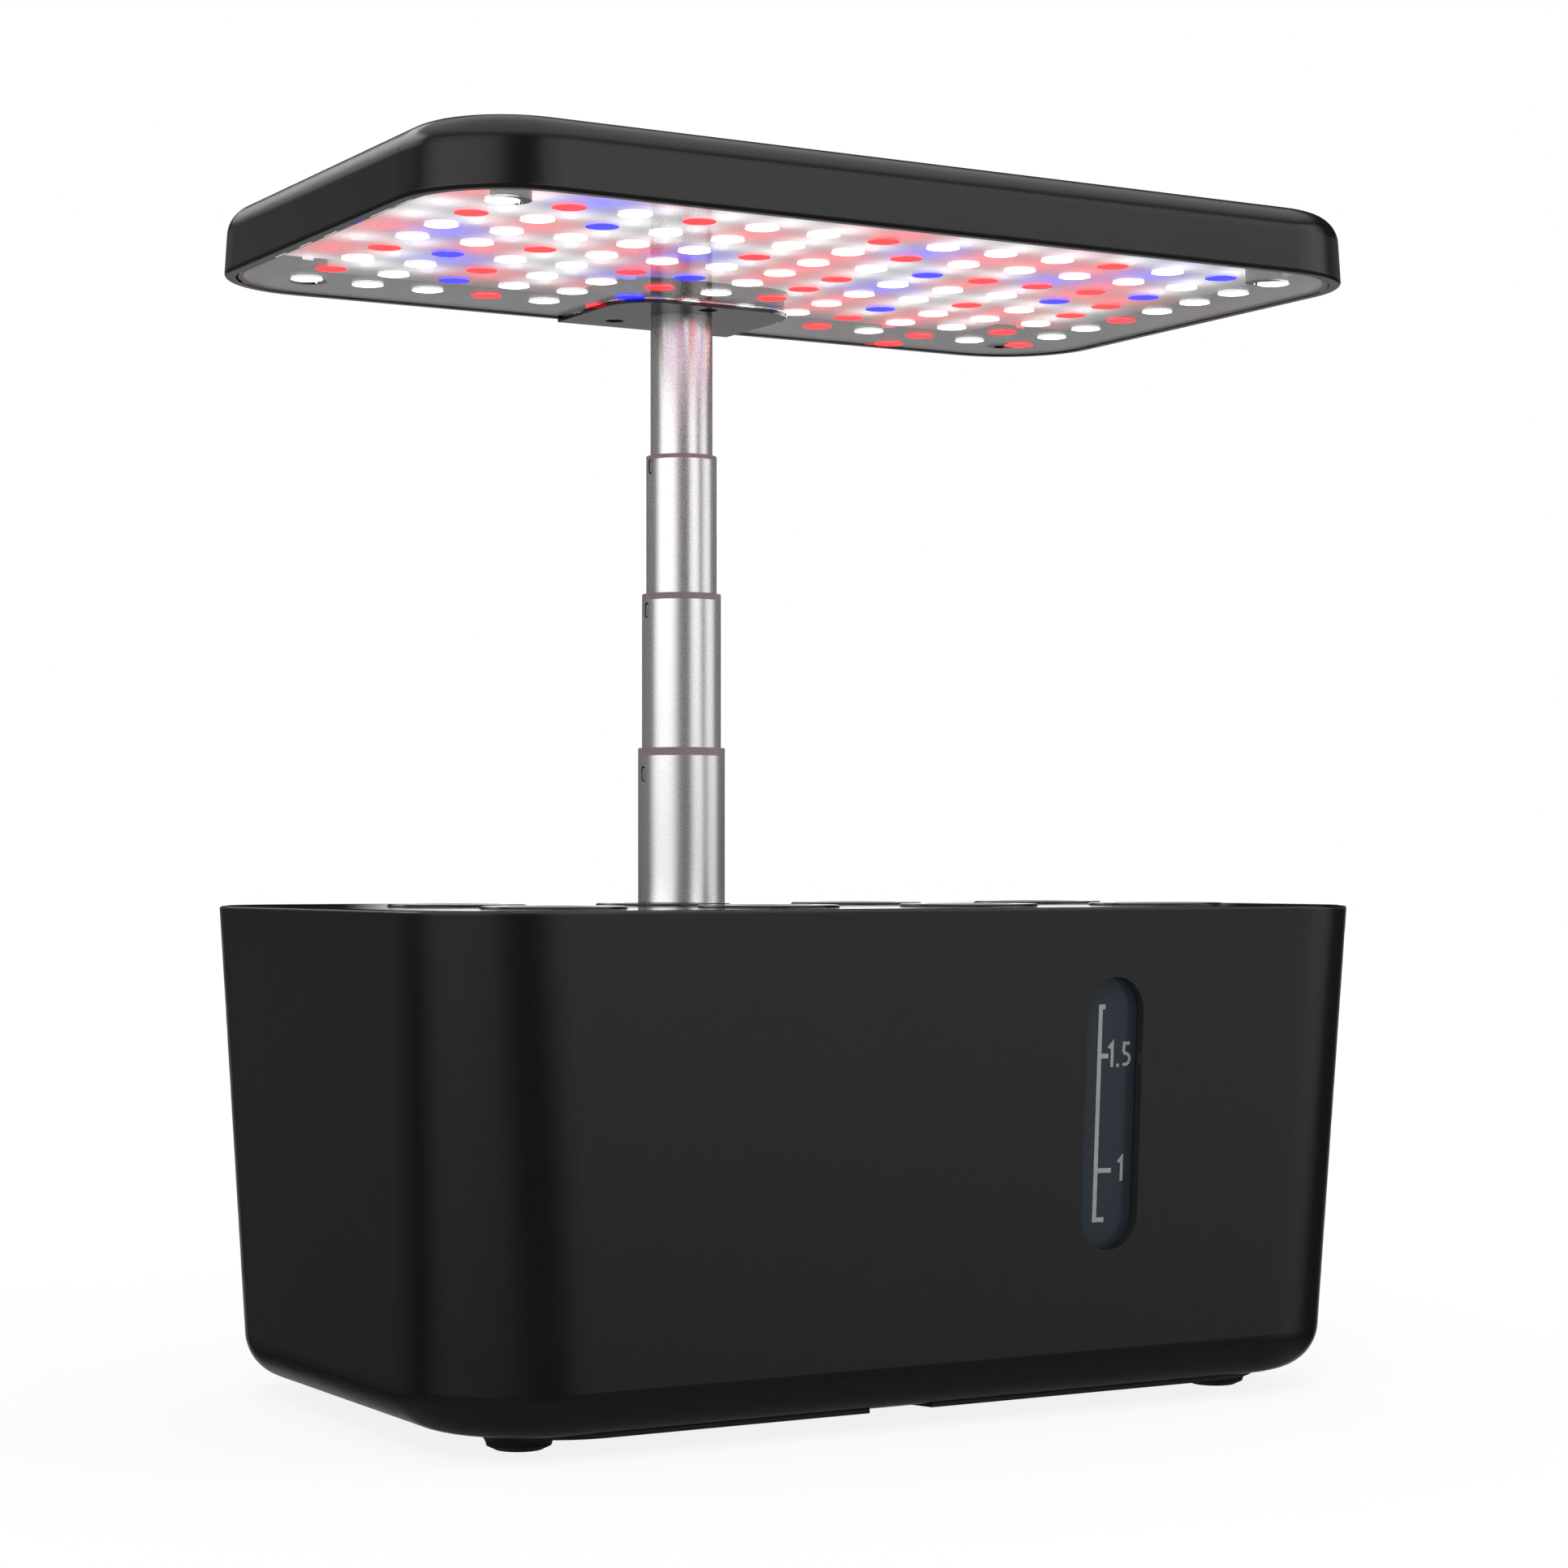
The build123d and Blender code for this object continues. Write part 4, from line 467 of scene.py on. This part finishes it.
# azimuth, half width and soft edge in degrees, lowest and highest height of the direction (its
# sine), brightness at the lowest and at the highest
SOFT_BOXES = (
    (-168, 4, 44, 0.0, 0.24, 1.65, 1.65),
    (-76, 3, 19, 0.0, 0.24, 1.35, 1.35),
    (-27, 3, 20, 0.0, 0.24, 1.0, 1.0),
    (60, 5.6, 2.0, -0.02, 0.24, 1.2, 1.2),
    (-46, 12, 34, -0.3, -0.02, 0.14, 0.62),
    (-158, 10, 40, -0.3, -0.02, 0.2, 0.5),
    (120, 10, 16, -0.3, -0.02, 0.05, 0.1),
    (62, 20, 12, -0.4, -0.02, 0.28, 0.28),
    (-46, 14, 32, 0.24, 0.55, 1.05, 1.05),
    (-160, 16, 38, 0.24, 0.55, 0.9, 0.9),
    (112, 22, 16, 0.3, 0.62, 0.22, 2.8),
    (118, 18, 12, 0.19, 0.33, 0.09, 0.09),
)
SURROUND_LEVEL = 0.01
HORIZON_BAND = (0.0, 0.24, 0.11)  # lowest and highest height, and brightness
BAND_GAP = (60, 14, 6)  # azimuth, half width and soft edge of the dark gap in that band
GROUND = (0.25, 0.6, 0.1)  # depths where its light begins and is full, and brightness
OVERHEAD = (0.55, 0.8, 1.0)  # heights where its light begins and is full, and brightness
EDGE_SOFTNESS = 0.05


def band(sky, height, low, high):
    """1 between two heights, 0 outside them, with soft ends."""
    above = sky.span(height, low - EDGE_SOFTNESS / 2, low + EDGE_SOFTNESS / 2)
    below = sky.span(height, high - EDGE_SOFTNESS / 2, high + EDGE_SOFTNESS / 2, 1.0, 0.0)
    return sky.math("MULTIPLY", above, below)


def sector(sky, level, azimuth, half, soft):
    """1 in a range of azimuths, 0 outside it, with soft ends."""
    turn = math.radians(azimuth)
    facing = sky.add("ShaderNodeVectorMath",
                     {0: level, 1: (math.cos(turn), math.sin(turn), 0.0)},
                     operation="DOT_PRODUCT").outputs["Value"]
    return sky.span(facing, math.cos(math.radians(half + soft)), math.cos(math.radians(half)))


world = bpy.data.worlds.new("studio")
scene.world = world
world.use_nodes = True
sky = Graph(world.node_tree)
direction = sky.add("ShaderNodeTexCoord").outputs["Generated"]
parts = sky.add("ShaderNodeSeparateXYZ", {"Vector": direction})
flat = sky.add("ShaderNodeCombineXYZ", {"X": parts.outputs[0], "Y": parts.outputs[1]})
level = sky.add("ShaderNodeVectorMath", {0: flat}, operation="NORMALIZE").outputs[0]
height = parts.outputs[2]
total = sky.span(height, *OVERHEAD[:2], SURROUND_LEVEL, OVERHEAD[2])
ring = sky.math("MULTIPLY", band(sky, height, *HORIZON_BAND[:2]), HORIZON_BAND[2])
ring = sky.math("MULTIPLY", ring, sky.math("SUBTRACT", 1.0, sector(sky, level, *BAND_GAP)))
ground = sky.span(sky.math("MULTIPLY", height, -1.0), *GROUND[:2], 0.0, GROUND[2])
total = sky.math("ADD", sky.math("ADD", total, ring), ground)
for azimuth, half, soft, low, high, dim, bright in SOFT_BOXES:
    share = sky.math("MULTIPLY", sector(sky, level, azimuth, half, soft),
                     band(sky, height, low, high))
    brightness = sky.span(height, low, high, dim, bright, False)
    total = sky.math("ADD", total, sky.math("MULTIPLY", share, brightness))

AMBIENT = 0.62  # even light from all round, on everything that isn't a reflection
path = sky.add("ShaderNodeLightPath")
strength = sky.add("ShaderNodeMix", data_type="FLOAT",
                   inputs={0: path.outputs["Is Glossy Ray"], 2: AMBIENT, 3: total})
# white for the camera, and for what is seen through glass
seen = sky.math("MAXIMUM", path.outputs["Is Camera Ray"], path.outputs["Is Transmission Ray"])
strength = sky.add("ShaderNodeMix", data_type="FLOAT",
                   inputs={0: seen, 2: strength.outputs[0], 3: 1.0})
background = sky.add("ShaderNodeBackground", {"Color": (1.0, 1.0, 1.0, 1.0),
                                               "Strength": strength.outputs[0]})
sky.add("ShaderNodeOutputWorld", {"Surface": background})

FLOOR_SIZE = 12.0
FLOOR_DROP = 0.0002  # how far the floor lies under the feet
FLOOR_PAPER = (0.82, 0.82, 0.82, 1.0)
FLOOR_SHADE = 0.16  # how much of the floor's own light and shadow the camera sees
FLOOR_WHITE = 1.03
SHADE_REACH = (0.3, 0.7)  # distances where the shade begins to fade and is gone
mesh = bpy.data.meshes.new("floor")
half_floor = FLOOR_SIZE / 2
mesh.from_pydata([(-half_floor, -half_floor, 0), (half_floor, -half_floor, 0),
                  (half_floor, half_floor, 0), (-half_floor, half_floor, 0)], [], [(0, 1, 2, 3)])
floor = bpy.data.objects.new("floor", mesh)
floor.location.z = -FLOOR_DROP
floor.visible_glossy = False
scene.collection.objects.link(floor)
floor_material = bpy.data.materials.new("floor_paper")
floor_material.use_nodes = True
paper = Graph(floor_material.node_tree)
diffuse = paper.add("ShaderNodeBsdfDiffuse", {"Color": FLOOR_PAPER})
white = paper.add("ShaderNodeEmission", {"Color": (1.0, 1.0, 1.0, 1.0),
                                         "Strength": FLOOR_WHITE})
place = paper.add("ShaderNodeTexCoord").outputs["Object"]
distance = paper.add("ShaderNodeVectorMath", {0: place}, operation="LENGTH").outputs["Value"]
plain = paper.span(distance, *SHADE_REACH, 1.0 - FLOOR_SHADE, 1.0)
seen = paper.math("MULTIPLY", paper.add("ShaderNodeLightPath").outputs["Is Camera Ray"], plain)
blend = paper.add("ShaderNodeMixShader", {0: seen, 1: diffuse, 2: white})
paper.add("ShaderNodeOutputMaterial", {"Surface": blend})
mesh.materials.append(floor_material)
floor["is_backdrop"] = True

# area lamps: place, point that each faces, size and power
AREA_LAMPS = {
    "key": ((-1.1, -1.5, 1.6), (0.0, 0.0, 0.15), 1.0, 16.0),
    "fill": ((1.5, -1.0, 1.2), (0.0, 0.0, 0.15), 1.2, 9.0),
    "top": ((0.1, 0.2, 2.0), (0.0, 0.0, 0.2), 1.4, 9.0),
}
for name, (place, target, size, power) in AREA_LAMPS.items():
    lamp_data = bpy.data.lights.new(name, "AREA")
    lamp_data.shape = "DISK"
    lamp_data.size = size
    lamp_data.energy = power
    lamp = bpy.data.objects.new(name, lamp_data)
    lamp.location = place
    lamp.rotation_euler = (Vector(target) - Vector(place)).to_track_quat("-Z", "Y").to_euler()
    lamp.visible_glossy = False
    lamp.visible_transmission = False
    scene.collection.objects.link(lamp)

# ---------------------------------------------------------------------------------------------
# Size of the visual model
# ---------------------------------------------------------------------------------------------

low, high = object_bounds()
